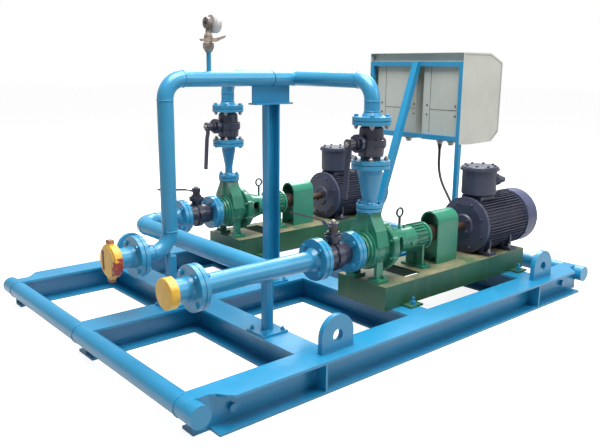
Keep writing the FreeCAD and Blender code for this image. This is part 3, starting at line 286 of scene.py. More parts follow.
class Finish:
    """One procedural material, built layer by layer on Object coordinates."""

    def __init__(self, name, colour, roughness, metallic=0.0):
        self.material = bpy.data.materials.new(name)
        self.material.use_nodes = True
        self.material.diffuse_color = (*colour, 1)
        self.tree = self.material.node_tree
        self.shader = self.tree.nodes["Principled BSDF"]
        self.shader.inputs["Base Color"].default_value = (*colour, 1)
        self.shader.inputs["Roughness"].default_value = roughness
        self.shader.inputs["Metallic"].default_value = metallic
        self.colour = None
        self.base = colour
        self.roughness = roughness
        self.rough = None
        self.bump = None
        self.place = self.add("ShaderNodeTexCoord").outputs["Object"]

    def add(self, kind, **settings):
        node = self.tree.nodes.new(kind)
        for key, value in settings.items():
            setattr(node, key, value)
        return node

    def link(self, source, target):
        self.tree.links.new(source, target)

    def noise(self, scale, detail=3.0, roughness=0.55, stretch=(1, 1, 1), distortion=0.0):
        mapping = self.add("ShaderNodeMapping")
        mapping.inputs["Scale"].default_value = stretch
        node = self.add("ShaderNodeTexNoise")
        self.link(self.place, mapping.inputs["Vector"])
        self.link(mapping.outputs["Vector"], node.inputs["Vector"])
        node.inputs["Scale"].default_value = scale
        node.inputs["Detail"].default_value = detail
        node.inputs["Roughness"].default_value = roughness
        node.inputs["Distortion"].default_value = distortion
        return node.outputs["Fac"]

    def ramp(self, source, low, high, from_value=0.0, to_value=1.0):
        node = self.add("ShaderNodeMapRange", clamp=True)
        self.link(source, node.inputs["Value"])
        limits = {"From Min": low, "From Max": high, "To Min": from_value, "To Max": to_value}
        for key, value in limits.items():
            node.inputs[key].default_value = value
        return node.outputs["Result"]

    def times(self, first, second):
        return maths(self.tree, "MULTIPLY", first, second)

    def either(self, first, second):
        """The larger of two factors."""
        return maths(self.tree, "MAXIMUM", first, second)

    def part(self, source, axis):
        """One coordinate of a vector."""
        split = self.add("ShaderNodeSeparateXYZ")
        self.link(source, split.inputs["Vector"])
        return split.outputs[axis]

    def up_facing(self, low=0.55, high=0.95):
        geometry = self.add("ShaderNodeNewGeometry")
        return self.ramp(self.part(geometry.outputs["Normal"], "Z"), low, high)

    def height(self, low, high):
        return self.ramp(self.part(self.place, "Z"), low, high)

    def beyond(self, axis, centre, distance, inside=0.0, outside=1.0):
        """Changes value where the place along an axis is further from a centre than a distance."""
        offset = maths(self.tree, "SUBTRACT", self.part(self.place, axis), centre)
        size = maths(self.tree, "ABSOLUTE", offset)
        return self.ramp(size, distance - 0.0002, distance + 0.0002, inside, outside)

    def tint(self, factor, colour):
        """Mixes a colour in where the factor is high."""
        node = self.add("ShaderNodeMix", data_type="RGBA")
        self.link(factor, node.inputs["Factor"])
        if self.colour is None:
            node.inputs["A"].default_value = (*self.base, 1)
        else:
            self.link(self.colour, node.inputs["A"])
        node.inputs["B"].default_value = (*colour, 1)
        self.colour = node.outputs["Result"]
        return self

    def roughen(self, factor, roughness):
        """Changes the roughness where the factor is high."""
        node = self.add("ShaderNodeMix", data_type="FLOAT")
        self.link(factor, node.inputs["Factor"])
        if self.rough is None:
            node.inputs["A"].default_value = self.roughness
        else:
            self.link(self.rough, node.inputs["A"])
        node.inputs["B"].default_value = roughness
        self.rough = node.outputs["Result"]
        return self

    def raise_by(self, height, distance, strength=1.0):
        """Adds a layer of relief, its depth in metres."""
        node = self.add("ShaderNodeBump")
        node.inputs["Strength"].default_value = strength
        node.inputs["Distance"].default_value = distance
        self.link(height, node.inputs["Height"])
        if self.bump is not None:
            self.link(self.bump, node.inputs["Normal"])
        self.bump = node.outputs["Normal"]
        return self

    def coat(self, weight, roughness=0.1):
        self.shader.inputs["Coat Weight"].default_value = weight
        self.shader.inputs["Coat Roughness"].default_value = roughness
        return self

    def done(self):
        if self.colour is not None:
            self.link(self.colour, self.shader.inputs["Base Color"])
        if self.rough is not None:
            self.link(self.rough, self.shader.inputs["Roughness"])
        if self.bump is not None:
            self.link(self.bump, self.shader.inputs["Normal"])
        return self.material


def scaled(colour, amount):
    return tuple(min(1.0, part * amount) for part in colour)


def faded(colour, other, amount):
    return tuple(one + (two - one) * amount for one, two in zip(colour, other))


def enamel(name, colour, roughness=0.3, dust=0.15, wear=0.12, grain=0.0001, coat=0.3):
    """Brushed-on gloss paint: soft colour drift, orange peel, dust on top, small chips."""
    finish = Finish(name, colour, roughness)
    finish.tint(finish.ramp(finish.noise(1.7, 3), 0.38, 0.66, 0, 0.8), scaled(colour, 0.84))
    finish.tint(finish.ramp(finish.noise(7, 2, stretch=(1, 1, 0.5)), 0.5, 0.8, 0, 0.35), scaled(colour, 1.22))
    dirt = finish.times(finish.up_facing(), finish.ramp(finish.noise(14, 5, 0.65), 0.5, 0.8, 0, dust))
    finish.tint(dirt, faded(colour, (0.40, 0.42, 0.40), 0.5)).roughen(dirt, 0.55)
    chips = finish.ramp(finish.noise(52, 6, 0.72), 0.75, 0.78, 0, wear)
    finish.tint(chips, scaled(colour, 0.45)).roughen(chips, 0.5)
    finish.roughen(finish.ramp(finish.noise(30, 3), 0.4, 0.7, 0, 0.4), min(1.0, roughness + 0.14))
    finish.raise_by(finish.noise(190, 2), grain * 0.3).raise_by(finish.noise(9, 2), grain * 2.5)
    return finish.coat(coat, 0.2).done()


def casting(name, colour, roughness=0.34, dust=0.3, grain=0.0005, coat=0.2, highlight=1.35, flanges=None,
            flange_colour=None):
    """Paint over a rough casting: pitted relief with dust in it. Its flanges may be another colour."""
    finish = Finish(name, colour, roughness)
    finish.tint(finish.ramp(finish.noise(4.5, 4), 0.35, 0.7), scaled(colour, 0.7))
    finish.tint(finish.ramp(finish.noise(26, 4, 0.6), 0.55, 0.8, 0, 0.5), scaled(colour, highlight))
    dust_patches = finish.ramp(finish.noise(22, 5, 0.7), 0.42, 0.75, 0, dust)
    dirt = finish.times(finish.up_facing(0.4, 0.95), dust_patches)
    finish.tint(dirt, (0.30, 0.27, 0.21)).roughen(dirt, 0.7)
    if flanges:
        mask = None
        for axis, centre, distance in flanges:
            ring = finish.beyond(axis, centre, distance)
            mask = ring if mask is None else finish.either(mask, ring)
        finish.tint(mask, flange_colour)
        shade_patch = finish.ramp(finish.noise(9, 3), 0.45, 0.75, 0, 0.6)
        finish.tint(finish.times(mask, shade_patch), scaled(flange_colour, 0.72)).roughen(mask, 0.24)
    finish.roughen(finish.ramp(finish.noise(60, 3), 0.4, 0.7, 0, 0.6), min(1.0, roughness + 0.2))
    finish.raise_by(finish.noise(260, 3), grain * 0.5).raise_by(finish.noise(90, 3), grain)
    return finish.coat(coat, 0.18).done()


def dark_eye(name, green):
    """Glossy green over a casting, with the lifting eye on top left black."""
    finish = Finish(name, green, 0.28)
    finish.tint(finish.ramp(finish.noise(4.5, 4), 0.35, 0.7), scaled(green, 0.75))
    # Lighter mottled patches: painted highlights on the casting
    finish.tint(finish.ramp(finish.noise(26, 4, 0.6), 0.55, 0.8, 0, 0.5), scaled(green, 1.6))
    eye = finish.height(0.5050, 0.5060)
    finish.tint(eye, (0.03, 0.04, 0.045)).roughen(eye, 0.5)
    finish.raise_by(finish.noise(260, 3), 0.0002).raise_by(finish.noise(90, 3), 0.0004)
    return finish.coat(0.35, 0.18).done()


def bare_metal(name, colour, roughness, stretch=(1, 1, 1), stain=(0.12, 0.08, 0.05), amount=0.3):
    """Bare metal with tool marks and a little staining."""
    finish = Finish(name, colour, roughness, 1.0)
    stains = finish.ramp(finish.noise(60, 5, 0.65), 0.5, 0.75, 0, amount)
    finish.tint(stains, stain).roughen(stains, 0.6)
    tool_marks = finish.ramp(finish.noise(240, 2, stretch=stretch), 0.35, 0.65, 0, 0.6)
    finish.roughen(tool_marks, min(1.0, roughness + 0.2))
    finish.raise_by(finish.noise(420, 2, stretch=stretch), 0.00008)
    return finish.done()


def worn_base(name, green, tan):
    """Green paint whose top has worn to dusty primer."""
    finish = Finish(name, green, 0.36)
    finish.tint(finish.ramp(finish.noise(3.4, 4), 0.35, 0.7), scaled(green, 0.7))
    top = finish.times(finish.up_facing(0.7, 0.95), finish.height(0.2500, 0.2575))
    patchy = finish.times(top, finish.ramp(finish.noise(7, 6, 0.65), 0.40, 0.62, 0.15, 0.85))
    finish.tint(patchy, tan).roughen(patchy, 0.85)
    finish.tint(finish.times(top, finish.ramp(finish.noise(31, 5, 0.7), 0.5, 0.7, 0, 0.7)), scaled(tan, 0.5))
    runs = finish.ramp(finish.noise(14, 4, stretch=(1, 1, 0.15)), 0.55, 0.75, 0, 0.4)
    finish.tint(runs, faded(green, tan, 0.3)).roughen(runs, 0.55)
    finish.raise_by(finish.noise(120, 3), 0.0003).raise_by(finish.noise(420, 2), 0.00012)
    return finish.coat(0.12, 0.2).done()


def worn_cap(name, yellow, rust, groove=None):
    """Speckled, worn yellow. A grooved cap also has rusty lugs and a red-brown patch on its side."""
    finish = Finish(name, yellow, 0.42)
    finish.tint(finish.ramp(finish.noise(9, 4), 0.4, 0.7, 0, 0.8), scaled(yellow, 0.75))
    finish.tint(finish.ramp(finish.noise(26, 4), 0.55, 0.75, 0, 0.5), faded(yellow, (0.9, 0.75, 0.45), 0.5))
    if groove is not None:
        hollow = finish.beyond("X", groove, 0.0008, 1.0, 0.0)
        finish.tint(hollow, scaled(rust, 0.7)).roughen(hollow, 0.7)
        rusty = finish.ramp(finish.noise(19, 4), 0.2, 0.36, 0.3, 1.0)
        lugs = finish.times(finish.beyond("Z", AXIS_HEIGHT, 0.084), rusty)
        finish.tint(lugs, faded(rust, (0.35, 0.22, 0.16), 0.3)).roughen(lugs, 0.7)
        side = finish.times(finish.beyond("Y", 1.0, 1.046), finish.beyond("Z", 0.398, 0.046, 1.0, 0.0))
        patch = finish.times(side, finish.ramp(finish.noise(24, 4, distortion=0.6), 0.36, 0.44))
        finish.tint(patch, faded(rust, (0.45, 0.02, 0.02), 0.5)).roughen(patch, 0.5)
    specks = finish.ramp(finish.noise(85, 5, 0.7), 0.64, 0.70, 0, 0.6)
    finish.tint(specks, scaled(rust, 0.9)).roughen(specks, 0.65)
    finish.raise_by(finish.noise(150, 3), 0.0003).raise_by(finish.noise(40, 2), 0.0005)
    return finish.coat(0.1, 0.2).done()


def gauge_stem(name, bronze, blue):
    """A dull bronze cock on a blue painted pipe."""
    finish = Finish(name, blue, 0.3)
    cock = finish.height(1.3445, 1.3455)
    finish.tint(cock, bronze).roughen(cock, 0.5)
    patches = finish.times(cock, finish.ramp(finish.noise(55, 5, 0.65), 0.42, 0.62))
    finish.tint(patches, scaled(bronze, 0.45)).roughen(patches, 0.65)
    finish.raise_by(finish.noise(230, 3), 0.0003)
    return finish.done()


def sheathing(name, colour):
    """Matt black rubber with a faint dusty bloom."""
    finish = Finish(name, colour, 0.5)
    finish.tint(finish.ramp(finish.noise(80, 4), 0.45, 0.8, 0, 0.3), (0.06, 0.06, 0.06))
    finish.roughen(finish.ramp(finish.noise(200, 3), 0.4, 0.7, 0, 0.5), 0.7)
    finish.raise_by(finish.noise(500, 2), 0.0001)
    return finish.done()


def clear_glass(name):
    finish = Finish(name, (0.95, 0.97, 0.96), 0.03)
    finish.shader.inputs["Transmission Weight"].default_value = 1.0
    finish.shader.inputs["IOR"].default_value = 1.3
    finish.roughen(finish.ramp(finish.noise(90, 3), 0.5, 0.8, 0, 0.4), 0.12)
    return finish.done()


FINISHES = {}


def build_finishes():
    paint = bpy.context.scene.skid_paint
    tone = {name: tuple(getattr(paint, name)) for name in SkidPaint.__annotations__}
    blue, green, dark = tone["pipe_blue"], tone["pump_green"], tone["valve_dark"]
    FINISHES.update({
        "frame_blue": enamel("Skid enamel", tone["skid_blue"]),
        "pipe_blue": enamel("Pipe enamel", blue, 0.3, 0.1, 0.08, 0.00006, 0.25),
        # Pipe blue darkened to 0.28 for the link pipe's joint bead: painted shadow of the weld
        "joint_shadow_blue": enamel("Shaded joint enamel", scaled(blue, 0.28), 0.5, 0.1, 0.0, 0.0001, 0.0),
        "pump_green": casting("Pump casting", green, 0.28, 0.16, 0.0004, 0.35, 1.6),
        "casing_green": casting("Casing paint", green, 0.28, 0.14, 0.0004, 0.35, 1.6,
                                (("X", 1.0, 1.2155), ("Z", 0.0, 0.6018)), blue),
        "frame_green": dark_eye("Bearing frame paint", green),
        "base_green": worn_base("Pump base paint", tone["base_olive"], tone["worn_tan"]),
        "guard_green": enamel("Guard paint", scaled(green, 1.1), 0.3, 0.2, 0.12, 0.0001, 0.3),
        "motor_grey": casting("Motor casting", tone["motor_grey"], 0.4, 0.35, 0.0003, 0.15, 1.5),
        "cowl_grey": enamel("Fan cowl paint", scaled(tone["motor_grey"], 1.7), 0.42, 0.3, 0.1,
                            0.0001, 0.1),
        "valve_dark": casting("Valve casting", dark, 0.3, 0.25, 0.0004, 0.3, 1.8),
        "suction_valve": casting("Suction valve paint", dark, 0.3, 0.25, 0.0004, 0.3, 1.8,
                                 (("X", SUCTION_VALVE_LINE, 0.0845),), blue),
        "delivery_valve": casting("Delivery valve paint", dark, 0.3, 0.25, 0.0004, 0.3, 1.8,
                                  (("Z", DELIVERY_VALVE_HEIGHT, 0.0825),), blue),
        "cap_yellow": worn_cap("Cap paint", tone["cap_yellow"], tone["cap_rust"]),
        "grooved_cap": worn_cap("Grooved cap paint", tone["cap_yellow"], tone["cap_rust"], -1.205),
        # Hood cream made 1.6 times lighter for the hood's back strip: painted light on the sloping roof
        "strip_lit_cream": enamel("Hood strip paint", scaled(tone["hood_cream"], 1.6), 0.42, 0.1, 0.0,
                              0.00005, 0.0),
        # Dark rust-brown for the strip beside the delivery cap's groove: painted shade of the slot
        "cap_slot_shade": enamel("Worn cap strip", tone["cap_rust"], 0.6, 0.2, 0.3, 0.0003, 0.0),
        "cabinet_grey": enamel("Cabinet paint", tone["cabinet_grey"], 0.42, 0.1, 0.0, 0.00005, 0.0),
        "hood_cream": enamel("Hood paint", tone["hood_cream"], 0.42, 0.1, 0.0, 0.00005, 0.0),
        "shaft_steel": bare_metal("Turned shaft", tone["shaft_steel"], 0.34, (4, 0.3, 0.3)),
        "stem_dark": bare_metal("Oiled stem", (0.09, 0.075, 0.07), 0.4, amount=0.5),
        "coupling_iron": bare_metal("Coupling iron", (0.13, 0.09, 0.075), 0.5, (3, 0.5, 0.5), amount=0.6),
        "cock_brass": gauge_stem("Cock bronze", tone["bronze"], blue),
        "gauge_steel": casting("Gauge case paint", (0.62, 0.62, 0.60), 0.34, 0.1, 0.0001, 0.3, 1.1,
                               (("X", 0.0, 0.6335),), (0.16, 0.125, 0.11)),
        "zinc": bare_metal("Zinc plate", tone["zinc"], 0.4, stain=(0.2, 0.14, 0.09), amount=0.6),
        "gasket_black": sheathing("Joint ring", tone["rubber"]),
        "cable_black": sheathing("Cable sheath", tone["rubber"]),
        "pointer_black": sheathing("Pointer enamel", (0.01, 0.01, 0.01)),
        "dial_white": enamel("Dial enamel", (0.78, 0.78, 0.74), 0.4, 0.05, 0.0, 0.00002, 0.0),
        # Near-black lines for the cabinet seams and the hood's fold: painted shadow in the joints; the latch
        # dots share this dark
        "seam_shadow_grey": sheathing("Seam shadow", (0.075, 0.078, 0.075)),
        "glass": clear_glass("Dial glass"),
    })


# Finishes of nodes that differ from their slot's, by the end of the node's name
NODE_FINISHES = {
    "_base": "base_green",
    "_guard": "guard_green",
    "_bearing_frame": "frame_green",
    "_casing": "casing_green",
    "_suction_valve_body": "suction_valve",
    "_delivery_valve_body": "delivery_valve",
    "_cowl": "cowl_grey",
    "_valve_stem": "stem_dark",
    "delivery_cap": "grooved_cap",
}


def finish_of(node, slot):
    """The finish that a CAD node wears."""
    for ending, finish in NODE_FINISHES.items():
        if node.endswith(ending):
            return FINISHES[finish]
    return FINISHES[slot]


class SKID_OT_finishes(bpy.types.Operator):
    """Paint every solid of the skid"""

    bl_idname = "pump_skid.finishes"
    bl_label = "Finishes"

    def execute(self, context):
        build_finishes()
        slots = {part["node"]: part["material_slot"] for part in frame["record"]["subparts"]}
        for name, node in frame["nodes"].items():
            node.data.materials.clear()
            node.data.materials.append(finish_of(name, slots[name]))
            for polygon in node.data.polygons:
                polygon.material_index = 0
                if name == "rain_hood":
                    polygon.use_smooth = False
        return {"FINISHED"}


# Camera, floor and light

CAMERA_PLACE = (-2.4850, -2.8080, 1.2762)
CAMERA_YAW, CAMERA_PITCH, CAMERA_ROLL = 49.25, 12.88, 0.46
LAMP_AIM = Vector((0, 0, 0.3))
FLOOR_GLOW = 0.86
GLOSSY_SHARE = 0.4


class SKID_OT_stage(bpy.types.Operator):
    """Set the camera, the pale floor and the soft light"""

    bl_idname = "pump_skid.stage"
    bl_label = "Stage"

    def execute(self, context):
        studio = context.scene.skid_studio
        scene = context.scene
        scene.view_settings.view_transform = "Standard"
        data = bpy.data.cameras.new("Camera")
        data.sensor_width = 36
        data.lens = studio.lens
        camera = bpy.data.objects.new("Camera", data)
        scene.collection.objects.link(camera)
        yaw, pitch, roll = map(math.radians, (CAMERA_YAW, CAMERA_PITCH, CAMERA_ROLL))
        camera.matrix_world = (
            Matrix.Translation(CAMERA_PLACE)
            @ Matrix.Rotation(yaw - math.pi / 2, 4, "Z")
            @ Matrix.Rotation(math.pi / 2 - pitch, 4, "X")
            @ Matrix.Rotation(roll, 4, "Z"))
        scene.camera = camera

        bm = bmesh.new()
        bmesh.ops.create_grid(bm, x_segments=1, y_segments=1, size=40)
        mesh = bpy.data.meshes.new("Floor")
        bm.to_mesh(mesh)
        bm.free()
        floor = bpy.data.objects.new("Floor", mesh)
        scene.collection.objects.link(floor)
        mesh.materials.append(self.floor_material())

        self.world(scene, studio.sky)
        self.lamp("Key", (-0.4, -0.8, 5.2), 4.5, studio.key_power)
        self.lamp("Back", (3.4, 2.4, 4.4), 4.0, studio.back_power)
        self.lamp("Side", (2.6, -4.6, 3.4), 3.0, studio.side_power)
        return {"FINISHED"}

    def floor_material(self):
        material = bpy.data.materials.new("Pale floor")
        material.use_nodes = True
        tree = material.node_tree
        shader = tree.nodes["Principled BSDF"]
        shader.inputs["Base Color"].default_value = (0.5, 0.5, 0.5, 1)
        shader.inputs["Roughness"].default_value = 0.9
        shader.inputs["Specular IOR Level"].default_value = 0.1
        path = tree.nodes.new("ShaderNodeLightPath")
        glow = tree.nodes.new("ShaderNodeEmission")
        glow.inputs["Color"].default_value = (1, 1, 1, 1)
        shine = maths(tree, "MULTIPLY", path.outputs["Is Glossy Ray"], GLOSSY_SHARE)
        seen = maths(tree, "MAXIMUM", path.outputs["Is Camera Ray"], shine)
        tree.links.new(maths(tree, "MULTIPLY", seen, FLOOR_GLOW), glow.inputs["Strength"])
        both = tree.nodes.new("ShaderNodeAddShader")
        tree.links.new(shader.outputs[0], both.inputs[0])
        tree.links.new(glow.outputs[0], both.inputs[1])
        tree.links.new(both.outputs[0], tree.nodes["Material Output"].inputs["Surface"])
        return material

    def world(self, scene, strength):
        world = bpy.data.worlds.new("Soft sky")
        scene.world = world
        world.use_nodes = True
        tree = world.node_tree
        background = tree.nodes["Background"]
        background.inputs["Color"].default_value = (1, 1, 1, 1)
        path = tree.nodes.new("ShaderNodeLightPath")
        direct = maths(tree, "MAXIMUM", path.outputs["Is Camera Ray"], path.outputs["Is Transmission Ray"])
        shine = maths(tree, "MULTIPLY", path.outputs["Is Glossy Ray"], GLOSSY_SHARE)
        seen = maths(tree, "MAXIMUM", direct, shine)
        level = tree.nodes.new("ShaderNodeMapRange")
        level.inputs["To Min"].default_value = strength
        level.inputs["To Max"].default_value = 1.0
        tree.links.new(seen, level.inputs["Value"])
        tree.links.new(level.outputs["Result"], background.inputs["Strength"])

    def lamp(self, name, place, size, power):
        light = bpy.data.lights.new(name, "AREA")
        light.shape = "DISK"
        light.size = size
        light.energy = power
        lamp = bpy.data.objects.new(name, light)
        bpy.context.scene.collection.objects.link(lamp)
        aim = LAMP_AIM - Vector(place)
        lamp.matrix_world = Matrix.Translation(place) @ aim.to_track_quat("-Z", "Y").to_matrix().to_4x4()


# The near motor's lead

# Corners of its route, as the solid has them
LEAD_POINTS = (
    (0.9240, -0.5620, 0.6440), (0.9999, -0.5620, 0.6440), (1.0659, -0.5237, 0.6161),
    (1.0842, -0.4402, 0.5799), (1.0842, -0.3519, 0.5050), (1.1001, -0.2621, 0.4250),
    (1.1398, -0.1723, 0.3680), (1.1998, -0.0997, 0.3401), (1.2682, -0.0419, 0.3560),
    (1.3258, 0.0503, 0.4150), (1.3778, 0.1581, 0.5000), (1.4140, 0.2143, 0.5900),
    (1.4200, 0.2190, 0.6960), (1.4200, 0.2190, 0.7590),
)


class SKID_OT_motor_lead(bpy.types.Operator):
    """Run the near motor's lead from its gland to the near cabinet"""

    bl_idname = "pump_skid.motor_lead"
    bl_label = "Motor lead"

    def execute(self, context):
        diameter = context.scene.skid_hardware.lead
        curve = bpy.data.curves.new("motor_lead", "CURVE")
        curve.dimensions = "3D"
        curve.bevel_depth = diameter / 2
        curve.bevel_resolution = 5
        curve.resolution_u = 16
        curve.use_fill_caps = True
        spline = curve.splines.new("NURBS")
        spline.points.add(len(LEAD_POINTS) - 1)
        for point, place in zip(spline.points, LEAD_POINTS):
            point.co = (*place, 1)
        spline.order_u = 3
        spline.use_endpoint_u = True
        lead = bpy.data.objects.new("motor_lead", curve)
        context.scene.collection.objects.link(lead)
        curve.materials.append(FINISHES["cable_black"])
        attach(lead, "skid")
        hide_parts("motor_cable")
        length = lead_length(lead)
        boots = bmesh.new()
        for end, along in ((LEAD_POINTS[0], (1, 0, 0)), (LEAD_POINTS[-1], (0, 0, -1))):
            place = frame_at(end, along)
            for low, high, wide, thin in ((-0.008, 0.010, 0.0165, 0.0160), (0.010, 0.040, 0.0135, 0.0100)):
                cylinder(boots, wide, high - low, place @ Matrix.Translation((0, 0, low)), 20, thin)
        finish_piece("lead_boots", boots, "skid", FINISHES["cable_black"])
        return {"FINISHED"}


def lead_length(lead):
    """The length of the lead's own line."""
    plain = lead.data.copy()
    plain.bevel_depth = 0
    mesh = curve_mesh(plain)
    total = sum((mesh.vertices[a].co - mesh.vertices[b].co).length for a, b in
                (edge.vertices for edge in mesh.edges))
    bpy.data.meshes.remove(mesh)
    return total


# Flange joints: centre, axis, bolt circle, reach to each bolted face, bolt size and finish on each side

def flange_joints(hardware):
    big, small = hardware.flange_bolt, hardware.pump_bolt
    blue, zinc = "pipe_blue", "zinc"
    joints = [
        ((-1.1055, LINES["near"], AXIS_HEIGHT), X_AXIS, 0.0785, 0.0215, 0.0215, big, blue, blue),
        ((-1.0615, 0.0, AXIS_HEIGHT), X_AXIS, 0.0785, 0.0215, 0.0215, big, blue, blue),
    ]
    for line in LINES.values():
        joints += [
            ((-0.4515, line, AXIS_HEIGHT), X_AXIS, 0.077, 0.0215, 0.0215, big, blue, blue),
            ((-0.2385, line, AXIS_HEIGHT), X_AXIS, 0.077, 0.0215, 0.0235, big, blue, blue),
            ((HEADER_LINE, line, 0.6195), Z_AXIS, 0.0485, 0.0175, 0.0175, small, blue, blue),
            ((HEADER_LINE, line, 0.8295), Z_AXIS, 0.0735, 0.0195, 0.0195, big, blue, zinc),
            ((HEADER_LINE, line, 1.0345), Z_AXIS, 0.0735, 0.0195, 0.0195, big, zinc, blue),
        ]
    return joints


class SKID_OT_flange_bolts(bpy.types.Operator):
    """Bolt every flange joint: four bolts each, clear of the centre lines"""

    bl_idname = "pump_skid.flange_bolts"
    bl_label = "Flange bolts"

    def execute(self, context):
        groups = {"pipe_blue": bmesh.new(), "zinc": bmesh.new()}
        for centre, axis, circle, low, high, size, low_finish, high_finish in flange_joints(
                context.scene.skid_hardware):
            centre = Vector(centre)
            head = hex_head(size, size * 0.75)
            nut = hex_head(size, size * 0.92, stud=size * 0.55)
            below, above = (nut, head) if low_finish == "zinc" else (head, nut)
            sides = ((-1, below, low_finish, low), (1, above, high_finish, high))
            for side, template, finish, reach in sides:
                for matrix in around(centre + axis * side * reach, axis * side, circle, 4, math.pi / 4):
                    add_copy(groups[finish], template, matrix)
            shank = bmesh.new()
            cylinder(shank, size * 0.56, low + high, Matrix(), 10)
            for matrix in around(centre - axis * low, axis, circle, 4, math.pi / 4):
                add_copy(groups["pipe_blue"], shank, matrix)
            for template in (head, nut, shank):
                template.free()
        finish_piece("flange_bolt_heads", groups["pipe_blue"], "skid", FINISHES["pipe_blue"])
        finish_piece("flange_bolt_nuts", groups["zinc"], "skid", FINISHES["zinc"])
        return {"FINISHED"}


# Hose end caps

class SKID_OT_hose_caps(bpy.types.Operator):
    """Model the suction hose's lobed cap, and the sleeve and dark slot strip (painted shade) of the delivery
    hose's cap
    """

    bl_idname = "pump_skid.hose_caps"
    bl_label = "Hose caps"

    def execute(self, context):
        self.suction_cup()
        self.delivery_skirt()
        return {"FINISHED"}

    def suction_cup(self):
        """A shallow cup with a softly lobed rim."""
        radius, depth, wall, bore = 0.0640, 0.038, 0.008, 0.0503
        lobes, lobe_height = 6, 0.025
        bm = bmesh.new()
        cylinder(bm, radius, depth, Matrix(), 96)
        front = [edge for edge in bm.edges if all(vert.co.z > depth * 0.9 for vert in edge.verts)]
        bmesh.ops.bevel(bm, geom=front, offset=0.005, affect="EDGES", segments=3, profile=0.5, material=-1)
        back = [face for face in bm.faces if face.normal.z < -0.9]
        bmesh.ops.inset_region(bm, faces=back, thickness=radius - bore)
        mouth = [face for face in bm.faces if face.normal.z < -0.9 and len(face.verts) > 10]
        floor = bmesh.ops.extrude_discrete_faces(bm, faces=mouth)["faces"]
        corners = list({vert for face in floor for vert in face.verts})
        bmesh.ops.translate(bm, vec=(0, 0, depth - wall), verts=corners)
        for vert in bm.verts:
            reach = math.hypot(vert.co.x, vert.co.y)
            if reach > bore + 0.001:
                angle = math.atan2(vert.co.y, vert.co.x)
                lobe = 1 + lobe_height * max(0.0, math.cos(lobes * angle)) ** 2
                vert.co.x *= lobe
                vert.co.y *= lobe
        place = frame_at((-1.204, LINES["near"], AXIS_HEIGHT), -X_AXIS)
        bmesh.ops.transform(bm, matrix=place, verts=bm.verts)
        piece = finish_piece("suction_cap_cup", bm, "suction_cap_off", FINISHES["cap_yellow"])
        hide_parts("suction_cap")

    def delivery_skirt(self):
        """A sleeve behind the grooved cap and a dark strip beside its groove, painted shade of the cap's
        slot.
        """
        # Place along the pipe and radius of each corner of the sleeve's section
        section = ((-1.1745, 0.0765), (-1.1680, 0.0765), (-1.1640, 0.0725), (-1.1640, 0.0545),
                   (-1.1745, 0.0545))
        sleeve = bmesh.new()
        corners = [sleeve.verts.new((reach, 0, along)) for along, reach in section]
        edges = [sleeve.edges.new(pair) for pair in zip(corners, corners[1:] + corners[:1])]
        bmesh.ops.spin(sleeve, geom=corners + edges, cent=(0, 0, 0), axis=(0, 0, 1), angle=2 * math.pi,
                       steps=72, use_merge=True)
        bmesh.ops.transform(sleeve, matrix=frame_at((0, 0, AXIS_HEIGHT), X_AXIS), verts=sleeve.verts)
        finish_piece("delivery_cap_sleeve", sleeve, "delivery_cap_off", FINISHES["grooved_cap"])
        # A thin dark strip standing in for the cap's slot: painted shade of the recess
        strip = bmesh.new()
        slab(strip, (-1.2096, 0.0260, AXIS_HEIGHT - 0.045), (-1.2084, 0.0450, AXIS_HEIGHT + 0.045))
        finish_piece("delivery_cap_strip", strip, "delivery_cap_off", FINISHES["cap_slot_shade"])


# Weld seams on the pipework and the skid

